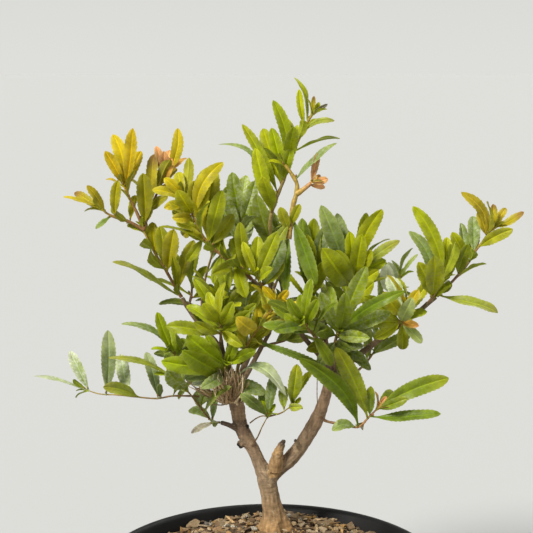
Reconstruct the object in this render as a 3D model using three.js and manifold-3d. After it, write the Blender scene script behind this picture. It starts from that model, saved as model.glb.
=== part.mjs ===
// A broad-leaved bonsai in a round black nursery pan. Millimetres, +Z up, +Y away from the viewer,
// with the origin in the middle of the pan's underside.
import * as THREE from "three";
import { mergeVertices } from "three/addons/utils/BufferGeometryUtils.js";
import Module from "manifold-3d";

const wasm = await Module();
wasm.setup();

// Driving sizes: lengths in millimetres, and shares of a length where a name says so
const PAN = {
  height: 110, rimRadius: 100, footRadius: 72, wall: 2.2, floor: 3, lip: 9, lipReach: 3.5, sides: 36,
};
const DRAIN = { count: 6, radius: 4, circle: 46, sides: 6 };
const SOIL = {
  edge: 99, crown: 1, mound: 12.5, spread: 34, lump: 0.8, rings: 5, sides: 26, lastRingShare: 0.97,
};
const TRUNK = { sides: 11, steps: 9, footShare: 0.015, rootShare: 0.25, rootReach: 3.4, holeGap: 0.45 };
const BRANCH = { stoutRadius: 2, stoutSides: 5, sides: 4, step: 13 };
const STEM = { rootRadius: 1.15, tipRadius: 0.8, sides: 4, step: 10, bare: 1.5, forkShare: 0.04 };
const SPUR = { length: 4.2, margin: 0.25, gap: 0.6 };
const LEAF = {
  width: 6.9, usualLength: 34, longLength: 30, thickness: 1.2, taper: 0.45, fold: 0.3, sink: 0.4,
  stalk: 0.09,
};
const CLEARANCE = 0.32;

// The picture that the routes are traced on: the eye that sees it, and the upright plane of the trunk.
// A traced point is its pixel x, pixel y and depth behind that plane, minus being nearer to the eye.
const PICTURE = { pixels: 533, angle: 24, eye: [-2.3, -685, 394.7], dip: 9.26, trunkPlane: 50 };

// The trunk, its limbs, branches, cut stubs and knob: traced points, each with its radius
const WOOD = {
  trunk: [[275, 562, 0, 8], [275, 546, 0, 11.2], [275, 533, 0, 11], [274.5, 524, 0, 9.4],
    [273.5, 514, 0, 7], [271.5, 503, 0, 5.9], [269.5, 490, 0, 5.5], [267, 478, 0, 5.9], [265.5, 469, 0, 5.2]],
  leftLimb: [[266, 479, 0, 5.2], [259, 462, 0, 4.1], [253, 449, 0, 3.9], [246, 437, 0, 4.4],
    [240.5, 425, 0, 4.3], [238, 412, 0, 4.3], [236, 400, 0, 4.8], [235, 388, 0, 4.2], [234, 377, 0, 2.8]],
  rightLimb: [[268, 479, 0, 5], [279, 468, 1, 4.7], [290, 459, 2, 4.6], [300, 447, 2, 4.5],
    [308.5, 434, 2, 4.4], [316, 421, 1, 4.4], [321.5, 408, 0, 3.8], [326, 394, -1, 3.3], [329, 378, -2, 2.8], [331, 362, -4, 2.3],
    [333, 347, -6, 1.8]],
  knob: [[274, 470, -2, 4.4], [277, 458, -4, 3.7], [280, 448, -5, 2.5], [284, 440.5, -6, 1.3]],
  cutLeft: [[246, 440, 0, 2.4], [238.5, 446.5, -2, 2.3]],
  cutUpper: [[241, 429, -1, 1.8], [248.5, 426, -4, 1.2]],
  cutRight: [[302, 450, 0, 1.8], [297, 443.5, -4, 1.3], [295, 439.5, -5, 1]],
  lowTwig: [[239, 430, 0, 2], [229, 425, -2, 1.5], [221, 422.5, -4, 1.35]],
  leftBranch: [[236, 404, 0, 3.6], [226, 394, -4, 2.6], [213, 386, -8, 1.8], [203, 380, -10, 1.5]],
  leftLeader: [[234, 383, -1, 2], [227, 362, -6, 1.9], [217, 344, -8, 1.8], [206, 331, -9, 1.7],
    [196, 319, -9, 1.6], [188, 308, -9, 1.5], [182, 298, -9, 1.4]],
  leftBack: [[236, 396, 2, 2.4], [222, 372, 18, 1.9], [210, 345, 32, 1.6], [203, 318, 40, 1.4]],
  centreBack: [[235, 387, 0, 2.4], [246, 362, 12, 1.9], [258, 334, 20, 1.7], [268, 300, 20, 1.5],
    [273, 266, 14, 1.4], [272, 240, 6, 1.3]],
  farBack: [[236, 391, 3, 2.1], [248, 372, 26, 1.8], [260, 350, 43, 1.5], [270, 332, 54, 1.35]],
  frontLeft: [[224.5, 357, -7, 1.6], [222, 348, -20, 1.4], [221, 340, -28, 1.3]],
  diagonal: [[330, 374, -3, 1.9], [319, 355, -12, 1.7], [306, 340, -16, 1.6], [296, 326, -18, 1.5],
    [283, 309, -20, 1.4], [268, 293, -21, 1.3], [252, 280, -21, 1.3]],
  riser: [[284, 310, -20, 1.3], [285, 285, -20, 1.25], [285, 262, -19, 1.25], [288, 240, -16, 1.2]],
  rightBranch: [[329, 381, -2, 2.3], [340, 369, -6, 2.2], [352, 360, -9, 2.1], [364, 351, -10, 2],
    [376, 342, -11, 1.8], [388, 333, -12, 1.7], [400, 325, -13, 1.6], [412, 317, -14, 1.5],
    [424, 307, -14, 1.4], [436, 297, -14, 1.3]],
  rightBack: [[327, 392, 0, 2.4], [336, 366, 16, 2], [345, 338, 30, 1.7], [350, 312, 38, 1.5]],
  frontRight: [[330, 370, -5, 1.8], [324, 352, -26, 1.5], [316, 338, -44, 1.35]],
};

// The leafy shoots. Each has its usual leaf length in millimetres, the number of leaves that its rule sets
// in a spiral, the routes of its stems, and the leaves that are placed one by one, as
// [stem, pixel x and y of the root, pixel x and y and depth of the tip, width, bow, roll in degrees].
const YOUNG = 0xc9b83a;
const FRESH = 0x86a63a;
const MATURE = 0x5f8a35;
const SHOOTS = {
  lowLeft: {
    leafLength: 30, spiral: [0], tint: MATURE,
    stems: [
      [[228, 397, -4], [210, 397, -10], [190, 396, -14], [172, 396, -16], [157, 398.5, -17],
      [137, 397, -18], [118, 395, -18], [100, 394, -16], [87, 390, -14]],
    ],
    leaves: [
      [0, 87, 390, 34, 376, -18, 0.75, 0.04, 80], [0, 89, 391, 70, 351, -8, 1.1, 0.06, 10],
      [0, 106, 394, 108, 330, -22, 1.15, 0.05, 0], [0, 130, 396, 121, 354, -4, 1.3, 0.05, 0],
      [0, 158, 398, 146, 352, -10, 1.1, 0.08, 20], [0, 139, 397, 103, 387, -32, 1.3, 0.08, 50],
      [0, 160, 398, 158, 381, -16, 1.2, 0.05, 40], [0, 172, 396, 186, 372, 2, 1, 0.1, 20],
    ],
  },
  lowTwig: {
    leafLength: 28, spiral: [2], tint: MATURE,
    stems: [
      [[221, 422.5, -4], [212, 421, -6], [203, 411, -13], [194, 399, -20], [184, 387, -25],
      [174, 377, -28]],
    ],
    leaves: [
      [0, 175, 378, 108, 358, -30, 0.75, 0.08, 65], [0, 186, 390, 163, 360, -36, 1.5, 0.08, 0],
      [0, 212, 421, 188, 410, -4, 1.2, 0.05, 20], [0, 213, 421, 217, 399, -8, 1, 0.05, 30],
      [0, 215, 421, 191, 433, -2, 1, 0.05, 50], [0, 180, 383, 184, 352, -26, 1.3, 0.1, 10],
    ],
  },
  leftCrown: {
    leafLength: 30, spiral: [1], tint: MATURE,
    stems: [
      [[203, 380, -10], [192, 371, -14], [181, 361, -18], [171, 351, -22]],
    ],
    leaves: [
      [0, 170, 350, 121, 324, -24, 0.85, 0.12, 60], [0, 172, 352, 157, 312, -30, 1, 0.05, 0],
      [0, 176, 356, 166, 325, -10, 1.2, 0.1, 20], [0, 190, 369, 170, 332, 0, 1.2, 0.1, 0],
      [0, 196, 374, 181, 338, -2, 1.2, 0.05, 20], [0, 198, 376, 212, 352, -28, 1.3, 0.1, 0],
    ],
  },
  leftLeader: {
    leafLength: 28, spiral: [2, 0, 0, 3], tint: YOUNG,
    stems: [
      [[182, 298, -9], [173, 283, -10], [165, 269, -11], [156, 255, -11], [149, 242, -12], [143, 229, -12]],
      [[143.5, 230, -12], [130, 222, -14], [117, 218, -15], [108, 214, -16], [103, 210, -16]],
      [[143.5, 230, -12], [137, 213, -12], [130, 199, -12], [124, 186, -12]],
      [[143.5, 230, -12], [149, 212, -8], [155, 198, -5], [161, 184, -2], [166, 173, 0]],
    ],
    leaves: [
      [0, 182, 298, 112, 262, -26, 0.75, 0.1, 70], [0, 168, 272, 174, 229, -20, 1.5, 0.05, 0],
      [0, 177, 289, 172, 256, -18, 1, 0.1, 30], [0, 178, 291, 194, 240, 0, 1.1, 0.05, 10],
      [0, 152, 249, 140, 231, -8, 0.9, 0.05, 50], [1, 103, 210, 63, 197, -18, 0.8, 0.05, 60],
      [1, 104, 211, 71, 187, -10, 0.9, 0.04, 20], [1, 106, 212, 84, 185, -22, 0.9, 0.05, 30],
      [1, 112, 216, 92, 221, -20, 0.9, 0.05, 50], [1, 115, 217, 118, 180, -18, 1.1, 0.05, 0],
      [1, 130, 222, 137, 192, -6, 0.9, 0.05, 20], [2, 124, 186, 105, 151, -16, 1.1, 0.05, 10],
      [2, 124, 186, 112, 134, -12, 1.3, 0.04, 0], [2, 125, 188, 133, 128, -14, 1.1, 0.04, 10],
      [2, 126, 190, 141, 150, -8, 1.1, 0.05, 0], [3, 144, 226, 143, 173, -16, 1.4, 0.05, 0],
      [3, 152, 206, 154, 154, -8, 1.2, 0.05, 20], [3, 163, 178, 156, 146, -4, 1, 0.05, 20],
      [3, 166, 174, 178, 128, -4, 1.1, 0.06, 10], [3, 166, 173, 170, 150, 6, 1.2, 0.05, 0],
      [3, 160, 186, 190, 186, -10, 1.2, 0.1, 20],
    ],
  },
  leaderLow: {
    leafLength: 32, spiral: [5], tint: FRESH,
    stems: [
      [[206, 331, -9], [211, 322, -14], [215, 312, -18], [218, 300, -22]],
    ],
    leaves: [
      [0, 209, 326, 193, 305, -28, 1.4, 0.1, 0], [0, 215, 312, 206, 276, -24, 1.1, 0.1, 20],
      [0, 218, 300, 222, 258, -26, 1.2, 0.08, 0], [0, 212, 320, 232, 292, -30, 1.1, 0.1, 10],
    ],
  },
  leaderMid: {
    leafLength: 30, spiral: [4], tint: FRESH,
    stems: [
      [[188, 308, -9], [191, 297, -4], [192, 286, 2], [191, 275, 8]],
    ],
    leaves: [
      [0, 191, 280, 197, 243, 10, 1.1, 0.05, 0], [0, 192, 290, 207, 266, 4, 1.1, 0.1, 20],
      [0, 190, 300, 214, 287, 10, 1.1, 0.1, 20],
    ],
  },
  crownFront: {
    leafLength: 32, spiral: [2], tint: MATURE,
    stems: [
      [[231, 386, -3], [227, 378, -12], [225, 370, -19], [225, 363, -25]],
    ],
    leaves: [
      [0, 226, 364, 187, 335, -38, 1.75, 0.08, 0], [0, 226, 367, 161, 361, -40, 1.4, 0.08, 0],
      [0, 227, 370, 178, 366, -32, 1.2, 0.1, 20], [0, 225, 363, 210, 333, -22, 1.3, 0.08, 0],
      [0, 228, 374, 190, 380, -28, 1.3, 0.12, 30], [0, 227, 372, 192, 392, -34, 1.2, 0.15, 10],
      [0, 226, 366, 249, 347, -34, 1.2, 0.08, 20], [0, 228, 376, 203, 366, -34, 1.4, 0.08, 10],
    ],
  },
  centreYellow: {
    leafLength: 30, spiral: [2], tint: YOUNG,
    stems: [
      [[236, 382, -4], [238, 367, -17], [243, 352, -24], [253, 336, -30], [264, 319, -34], [277, 303, -38]],
    ],
    leaves: [
      [0, 277, 303, 263, 286, -40, 1.1, 0.05, 0], [0, 277, 303, 288, 290, -42, 1.3, 0.05, 0],
      [0, 274, 306, 262, 305, -48, 1.2, 0.1, 0], [0, 256, 331, 236, 317, -50, 1.7, 0.15, 0],
      [0, 268, 314, 319, 309, -44, 1, 0.14, 55], [0, 258, 328, 306, 323, -32, 1.1, 0.1, 30],
      [0, 250, 339, 322, 366, -30, 1.1, 0.08, 20], [0, 245, 346, 232, 306, -30, 1.2, 0.06, 0],
      [0, 238, 374, 286, 396, -36, 1.3, 0.36, 60],
      [0, 248, 342, 264, 296, -24, 1.2, 0.06, 0],
    ],
  },
  diagonal: {
    leafLength: 30, spiral: [6], tint: FRESH,
    stems: [
      [[252, 280, -21], [244, 271, -23], [234, 263, -24], [222, 255, -25], [211, 247, -25], [202, 235, -25],
      [195, 220, -25], [189, 207, -24], [184, 196, -23]],
    ],
    leaves: [
      [0, 250, 276, 240, 222, -32, 1.1, 0.04, 0], [0, 208, 243, 222, 190, -30, 1.3, 0.04, 0],
      [0, 209, 245, 159, 227, -34, 0.9, 0.1, 75], [0, 198, 226, 204, 182, -22, 1.2, 0.04, 0],
      [0, 196, 218, 225, 162, -22, 1.2, 0.2, 10], [0, 190, 208, 195, 178, -30, 1.3, 0.06, 0],
      [0, 185, 198, 164, 178, -26, 1.2, 0.1, 10], [0, 185, 198, 178, 172, -14, 1.3, 0.1, 0],
      [0, 187, 204, 164, 208, -30, 1.3, 0.15, 20], [0, 193, 215, 172, 218, -34, 1.4, 0.15, 0],
      [0, 222, 255, 214, 285, -30, 0.9, 0.1, 10], [0, 204, 238, 186, 262, -26, 1.2, 0.1, 0],
    ],
  },
  diagonalLow: {
    leafLength: 28, spiral: [2], tint: FRESH,
    stems: [
      [[268, 293, -21], [261, 284, -26], [256, 276, -30]],
    ],
    leaves: [
      [0, 262, 286, 268, 312, -34, 1.1, 0.1, 0], [0, 257, 278, 277, 232, -38, 1.3, 0.05, 0],
      [0, 257, 278, 244, 262, -40, 1.2, 0.1, 20], [0, 262, 286, 238, 290, -36, 1, 0.1, 30],
      [0, 266, 290, 254, 268, -28, 1, 0.05, 0],
    ],
  },
  riser: {
    leafLength: 32, spiral: [0], tint: YOUNG,
    stems: [
      [[288, 240, -16], [290, 228, -15], [292, 217, -14], [293, 206, -13], [296, 195, -12], [297, 184, -11],
      [291, 173, -10], [285, 165, -9]],
      [[296.2, 194, -12], [304, 189, -12], [311, 183, -13]],
    ],
    leaves: [
      [0, 291, 218, 256, 276, -26, 1.25, 0.06, 0], [0, 292, 217, 316, 285, -22, 1.2, 0.06, 0],
      [0, 295, 178, 337, 143, -18, 0.8, 0.12, 60], [0, 285, 165, 268, 161, -14, 0.7, 0.08, 60],
      [0, 286, 167, 278, 147, -4, 1, 0.05, 0], [1, 311, 183, 318, 153, -15, 1.1, 0.05, 0],
      [1, 311, 183, 328, 179, -14, 1.2, 0.05, 0], [1, 309, 185, 325, 187, -6, 0.9, 0.05, 20],
    ],
  },
  riserTop: {
    leafLength: 34, spiral: [4], tint: FRESH,
    stems: [
      [[272, 240, 6], [270, 226, 4], [272, 212, 3], [277, 197, 2], [283, 182, 1], [288, 168, 0],
      [293, 153, -2], [299, 139, -3], [306, 125, -4], [312, 115, -5]],
    ],
    leaves: [
      [0, 271, 214, 255, 148, -8, 1.25, 0.04, 0], [0, 271, 216, 226, 138, 8, 0.9, 0.14, 50],
      [0, 278, 194, 242, 124, 8, 1, 0.06, 10], [0, 281, 186, 262, 126, 10, 1.2, 0.05, 0],
      [0, 284, 180, 270, 132, 14, 1.1, 0.05, 10], [0, 288, 168, 273, 100, -8, 1.25, 0.04, 0],
      [0, 290, 163, 306, 122, -8, 1.3, 0.04, 0], [0, 305, 127, 299, 89, -8, 1, 0.03, 0],
      [0, 312, 115, 314, 96, -6, 1, 0.03, 20], [0, 312, 115, 326, 102, -8, 1.1, 0.05, 0],
      [0, 302, 133, 334, 117, -10, 1, 0.1, 40], [0, 297, 143, 284, 118, 4, 1.1, 0.06, 20],
      [0, 300, 137, 292, 121, 8, 1.1, 0.06, 0], [0, 287, 172, 277, 141, 10, 1.1, 0.05, 0],
    ],
  },
  centreBackA: {
    leafLength: 34, spiral: [9], tint: MATURE,
    stems: [
      [[258, 334, 20], [247, 316, 26], [240, 294, 30], [237, 270, 32], [238, 246, 30], [241, 222, 28]],
    ],
    leaves: [
      [0, 241, 222, 232, 172, 22, 1.4, 0.05, 0], [0, 241, 224, 243, 174, 28, 1.3, 0.05, 10],
      [0, 240, 232, 222, 192, 20, 1.1, 0.05, 0], [0, 241, 226, 256, 178, 24, 1.3, 0.05, 0],
    ],
  },
  centreBackB: {
    leafLength: 32, spiral: [7], tint: MATURE,
    stems: [
      [[268, 300, 20], [275, 286, 24], [280, 270, 28], [281, 254, 30]],
    ],
    leaves: [
      [0, 281, 256, 262, 212, 16, 1.3, 0.05, 0], [0, 281, 256, 287, 226, 26, 1.2, 0.05, 0],
      [0, 279, 272, 268, 236, 8, 1.3, 0.05, 0],
    ],
  },
  leftBack: {
    leafLength: 32, spiral: [9], tint: MATURE,
    stems: [
      [[203, 318, 40], [202, 298, 44], [206, 276, 46], [212, 254, 46], [217, 232, 44]],
    ],
    leaves: [
      [0, 217, 232, 208, 196, 34, 1.2, 0.05, 0], [0, 217, 232, 228, 188, 38, 1.2, 0.05, 0],
    ],
  },
  rightRosette: {
    leafLength: 34, spiral: [2], tint: MATURE,
    stems: [
      [[333, 350, -7], [336, 340, -14], [338, 331, -20]],
    ],
    leaves: [
      [0, 338, 331, 366, 266, -30, 1.3, 0.06, 0], [0, 338, 331, 405, 291, -38, 1, 0.14, 30],
      [0, 337, 334, 391, 312, -30, 1.2, 0.1, 10], [0, 337, 334, 320, 292, -32, 1.1, 0.06, 0],
      [0, 337, 336, 306, 322, -34, 1.3, 0.12, 0], [0, 337, 334, 346, 284, -40, 1.2, 0.06, 0],
      [0, 338, 331, 330, 286, -14, 1.2, 0.05, 0], [0, 337, 336, 370, 338, -34, 1.2, 0.12, 20],
      [0, 335, 341, 352, 350, -36, 1.1, 0.1, 10],
    ],
  },
  rightCrown: {
    leafLength: 34, spiral: [5], tint: FRESH,
    stems: [
      [[332, 353, -5], [339, 328, 0], [346, 304, 2], [352, 284, 2], [357, 268, 0]],
    ],
    leaves: [
      [0, 357, 268, 382, 209, -10, 1.35, 0.07, 0], [0, 356, 272, 396, 240, -12, 1, 0.08, 30],
      [0, 356, 272, 349, 228, -6, 1.2, 0.06, 0], [0, 350, 290, 321, 205, -8, 1.2, 0.07, 0],
      [0, 351, 288, 337, 213, 2, 1.2, 0.05, 0], [0, 352, 285, 322, 248, -26, 1.8, 0.16, 0],
      [0, 354, 278, 372, 250, -14, 1.2, 0.06, 0],
    ],
  },
  rightInner: {
    leafLength: 32, spiral: [5], tint: FRESH,
    stems: [
      [[331, 360, -4], [324, 338, -2], [317, 318, -2], [312, 300, -4], [311, 286, -6]],
    ],
    leaves: [
      [0, 311, 286, 307, 234, -8, 1.2, 0.05, 0], [0, 312, 290, 326, 226, -4, 1.2, 0.05, 0],
      [0, 312, 296, 322, 262, -18, 1.4, 0.05, 0], [0, 314, 306, 296, 256, -2, 0.9, 0.06, 20],
      [0, 318, 322, 300, 305, -20, 1.2, 0.15, 0], [0, 315, 312, 330, 284, -22, 1.4, 0.08, 0],
      [0, 314, 308, 292, 303, 6, 1.2, 0.1, 20],
    ],
  },
  frontRight: {
    leafLength: 31, spiral: [4], tint: MATURE,
    stems: [
      [[316, 338, -44], [309, 330, -50], [303, 323, -54]],
    ],
    leaves: [
      [0, 304, 325, 288, 298, -60, 1.1, 0.1, 0], [0, 304, 325, 318, 299, -62, 1.2, 0.1, 0],
      [0, 312, 334, 262, 325, -52, 1, 0.1, 30], [0, 305, 326, 274, 331, -62, 1.2, 0.1, 30],
      [0, 307, 328, 300, 294, -48, 1.2, 0.06, 0],
    ],
  },
  frontLeft: {
    leafLength: 30, spiral: [4], tint: FRESH,
    stems: [
      [[221, 340, -28], [220.5, 331, -34], [220, 322, -37]],
    ],
    leaves: [
      [0, 220, 324, 203, 303, -46, 1.5, 0.1, 0], [0, 220, 325, 215, 291, -38, 1.1, 0.08, 0],
      [0, 220, 326, 235, 297, -48, 1.2, 0.08, 0], [0, 221, 332, 248, 314, -46, 1.3, 0.1, 0],
      [0, 221, 334, 194, 322, -40, 1.3, 0.1, 0], [0, 221, 330, 226, 300, -28, 1.2, 0.05, 0],
    ],
  },
  farBack: {
    leafLength: 33, spiral: [10], tint: MATURE,
    stems: [
      [[270, 332, 54], [276, 315, 60], [281, 297, 62], [282, 277, 62], [281, 256, 58]],
    ],
    leaves: [],
  },
  farBackLeft: {
    leafLength: 32, spiral: [9], tint: MATURE,
    stems: [
      [[256, 358, 38], [244, 344, 48], [233, 328, 55], [225, 308, 60], [220, 286, 61]],
    ],
    leaves: [],
  },
  farBackRight: {
    leafLength: 32, spiral: [9], tint: MATURE,
    stems: [
      [[262, 346, 46], [283, 341, 54], [303, 331, 60], [319, 315, 63], [330, 295, 63]],
    ],
    leaves: [],
  },
  rightBack: {
    leafLength: 33, spiral: [8], tint: FRESH,
    stems: [
      [[350, 312, 38], [353, 292, 42], [356, 272, 44], [357, 250, 42]],
    ],
    leaves: [
      [0, 357, 250, 366, 214, 34, 1.2, 0.05, 0],
    ],
  },
  rightBackOut: {
    leafLength: 32, spiral: [8], tint: MATURE,
    stems: [
      [[345, 338, 30], [360, 326, 40], [376, 312, 46], [390, 296, 50], [400, 278, 50]],
    ],
    leaves: [
      [0, 400, 278, 418, 254, 44, 1, 0.08, 30], [0, 398, 282, 388, 262, 40, 1.2, 0.05, 0],
    ],
  },
  rightBranchLow: {
    leafLength: 30, spiral: [2], tint: FRESH,
    stems: [
      [[396, 328, -13], [402, 320, -18], [407, 312, -22]],
    ],
    leaves: [
      [0, 399, 324, 426, 291, -30, 1.4, 0.12, 0], [0, 404, 318, 383, 292, -26, 1.5, 0.06, 0],
      [0, 398, 326, 370, 322, -30, 1.2, 0.12, 10], [0, 398, 326, 422, 343, -20, 1.2, 0.1, 10],
      [0, 398, 326, 402, 346, -6, 1.3, 0.05, 0], [0, 405, 315, 388, 276, -10, 1.5, 0.05, 0],
    ],
  },
  rightBranchMid: {
    leafLength: 33, spiral: [2], tint: FRESH,
    stems: [
      [[424, 307, -14], [432, 298, -18], [438, 289, -20], [443, 280, -21]],
    ],
    leaves: [
      [0, 431, 299, 409, 231, -20, 1, 0.1, 10], [0, 443, 280, 413, 206, -22, 1.3, 0.05, 0],
      [0, 433, 297, 434, 256, -34, 1.7, 0.05, 0], [0, 443, 280, 447, 237, -12, 1.1, 0.05, 0],
      [0, 436, 292, 450, 272, -30, 1.3, 0.1, 0], [0, 436, 292, 422, 272, -4, 1.1, 0.06, 0],
    ],
  },
  rightTip: {
    leafLength: 30, spiral: [2], tint: FRESH,
    stems: [
      [[436, 297, -14], [448, 286, -15], [460, 273, -16], [469, 262, -16], [477, 249, -17], [486, 237, -17],
      [494, 227, -18]],
    ],
    leaves: [
      [0, 488, 234, 461, 192, -22, 1, 0.05, 10], [0, 494, 227, 493, 204, -18, 1.1, 0.05, 10],
      [0, 494, 227, 524, 212, -20, 1, 0.08, 40], [0, 478, 248, 513, 229, -30, 1.2, 0.08, 20],
      [0, 466, 265, 464, 222, -12, 1.1, 0.05, 20], [0, 474, 254, 473, 216, -6, 1.3, 0.06, 0],
      [0, 460, 273, 450, 244, -18, 1, 0.05, 10], [0, 438, 296, 498, 313, -20, 0.95, 0.17, 45],
      [0, 470, 260, 484, 226, -10, 1.1, 0.05, 20], [0, 458, 276, 468, 244, -28, 1.2, 0.05, 0],
      [0, 494, 227, 506, 208, -8, 0.9, 0.05, 10],
    ],
  },
  lowRight: {
    leafLength: 34, spiral: [0], tint: MATURE,
    stems: [
      [[319, 415, 0], [326, 421, -12], [341, 424, -18], [358, 427, -22], [368, 418, -24], [377, 409, -26]],
    ],
    leaves: [
      [0, 356, 427, 331, 424, -24, 1.5, 0.1, 40], [0, 358, 426, 299, 358, -40, 1.15, 0.06, 0],
      [0, 367, 417, 336, 347, -36, 1.25, 0.05, 0], [0, 376, 409, 449, 378, -24, 1.25, 0.06, 20],
      [0, 370, 416, 441, 414, -32, 1, 0.08, 50], [0, 376, 409, 394, 392, -12, 1.7, 0.1, 20],
      [0, 364, 421, 354, 434, -6, 1, 0.1, 20],
    ],
  },
  lowCentre: {
    leafLength: 28, spiral: [0], tint: MATURE,
    stems: [
      [[250, 446, -2], [257, 438, -8], [262, 427, -14], [268, 416, -18]],
      [[268, 416.5, -18], [281, 413, -22], [291, 406, -26]],
    ],
    leaves: [
      [0, 267, 417, 241, 393, -30, 1.2, 0.14, 0], [0, 268, 416, 276, 372, -16, 1.4, 0.1, 10],
      [0, 267, 417, 262, 388, -12, 1.2, 0.08, 0], [1, 291, 406, 297, 364, -30, 1.3, 0.08, 0],
      [1, 291, 406, 312, 374, -32, 0.8, 0.08, 40], [1, 289, 408, 307, 397, -34, 1, 0.1, 20],
      [1, 284, 411, 284, 386, -12, 1.2, 0.05, 0],
    ],
  },
  backLow: {
    leafLength: 29, spiral: [7], tint: MATURE,
    stems: [
      [[228, 381, 12], [214, 380, 26], [200, 376, 38], [188, 368, 48], [178, 356, 56]],
    ],
    leaves: [],
  },
  backRightLow: {
    leafLength: 30, spiral: [7], tint: MATURE,
    stems: [
      [[333, 376, 8], [350, 375, 24], [363, 366, 40], [374, 352, 52], [382, 337, 60]],
    ],
    leaves: [],
  },
};

// The spiral rule: each leaf turns on from the last by the golden angle, wide open low on the shoot and
// closing towards its tip, and lifts to the light. Angles are in degrees, and a spread is a random range.
const SPIRAL = {
  turn: 137.5, turnSpread: 24, openLow: 62, openHigh: 24, openSpread: 14, lift: 0.42, firstShare: 0.7,
  tipLength: 0.78, lengthSpread: 0.26, width: 1.05, widthSpread: 0.3, bow: 0.05, bowSpread: 0.09,
  rollSpread: 46,
};

// Turns in degrees that a leaf tries, in its own plane and out of it, until it is clear of the others,
// and the shares of its length that it tries them at. Leaves of the spiral may turn further.
const SWINGS = [
  [0, 0], [0, 9], [0, -9], [7, 0], [-7, 0], [0, 18], [0, -18], [8, 12], [-8, 12], [8, -12], [-8, -12],
  [15, 0], [-15, 0], [14, 20], [-14, 20], [14, -20], [-14, -20],
];
const SHRINKS = [1, 0.88, 0.76];
const SPIRAL_SWING = 1.7;

// Gaps in the crown that show the background in the photograph, as pixel x and y and radius: leaves of the
// spiral keep out of them
const GAPS = [
  [163, 214, 9], [182, 245, 6], [204, 257, 6], [209, 269, 6], [213, 282, 6], [191, 291, 8], [167, 268, 5],
  [286, 197, 8], [293, 228, 6], [294, 244, 7], [293, 261, 7], [295, 277, 9], [294, 290, 9], [352, 217, 8],
  [396, 250, 8], [410, 274, 8], [285, 346, 5], [257, 360, 7], [288, 370, 9], [262, 383, 7], [310, 388, 10],
  [375, 376, 20], [398, 362, 14], [352, 388, 10], [440, 330, 16], [460, 300, 8],
];
const GAP_SHARES = [0.25, 0.4, 0.55, 0.7, 0.85, 1];

// One side of a leaf, from its stalk to its tip: the half width at shares of the length, with teeth that
// point to the tip. Long leaves in front show two teeth a side, and the others one.
const LONG_LEAF = {
  rim: [[0.1, 0.17], [0.27, 0.74], [0.53, 1], [0.57, 0.88], [0.82, 0.9], [0.86, 0.74]],
  rib: [0.1, 0.4, 0.74],
};
const SHORT_LEAF = {
  rim: [[0.1, 0.17], [0.34, 0.86], [0.71, 1], [0.76, 0.82]],
  rib: [0.1, 0.52],
};
// The plain shape that a leaf is tried with for its clearance
const TEST_LEAF = {
  rim: [[0.1, 0.17], [0.34, 0.84], [0.7, 1], [0.88, 0.6]],
  rib: [0.1, 0.52],
};

// The finish of the pieces that are not leafy
const FINISH = {
  pan: { color: 0x17181a, roughness: 0.62 },
  soil: { color: 0x8d6f45, roughness: 0.95 },
  trunk_and_limbs: { color: 0xa98966, roughness: 0.8 },
};
const LEAF_ROUGHNESS = 0.45;

const degrees = THREE.MathUtils.degToRad;
const lerp = THREE.MathUtils.lerp;
const vec = (x, y, z) => new THREE.Vector3(x, y, z);

// The place of a traced point
function spot(pixelX, pixelY, depth) {
  const middle = PICTURE.pixels / 2;
  const focal = middle / Math.tan(degrees(PICTURE.angle / 2));
  const dip = degrees(PICTURE.dip);
  const right = (pixelX - middle) / focal;
  const up = (middle - pixelY) / focal;
  const ray = vec(right, Math.cos(dip) + up * Math.sin(dip), up * Math.cos(dip) - Math.sin(dip));
  const reach = (PICTURE.trunkPlane + depth - PICTURE.eye[1]) / ray.y;
  return ray.multiplyScalar(reach).add(vec(...PICTURE.eye));
}

// The pixel of the picture that shows a place
function pixelOf(place) {
  const middle = PICTURE.pixels / 2;
  const focal = middle / Math.tan(degrees(PICTURE.angle / 2));
  const dip = degrees(PICTURE.dip);
  const ray = place.clone().sub(vec(...PICTURE.eye));
  const ahead = ray.y * Math.cos(dip) - ray.z * Math.sin(dip);
  const up = ray.y * Math.sin(dip) + ray.z * Math.cos(dip);
  return [middle + focal * ray.x / ahead, middle - focal * up / ahead];
}

// A smooth step from b to c, with a before them and d after them
function spline(a, b, c, d, f) {
  return 0.5 * (2 * b + (c - a) * f + (2 * a - 5 * b + 4 * c - d) * f * f
    + (3 * b - a - 3 * c + d) * f * f * f);
}

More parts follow.
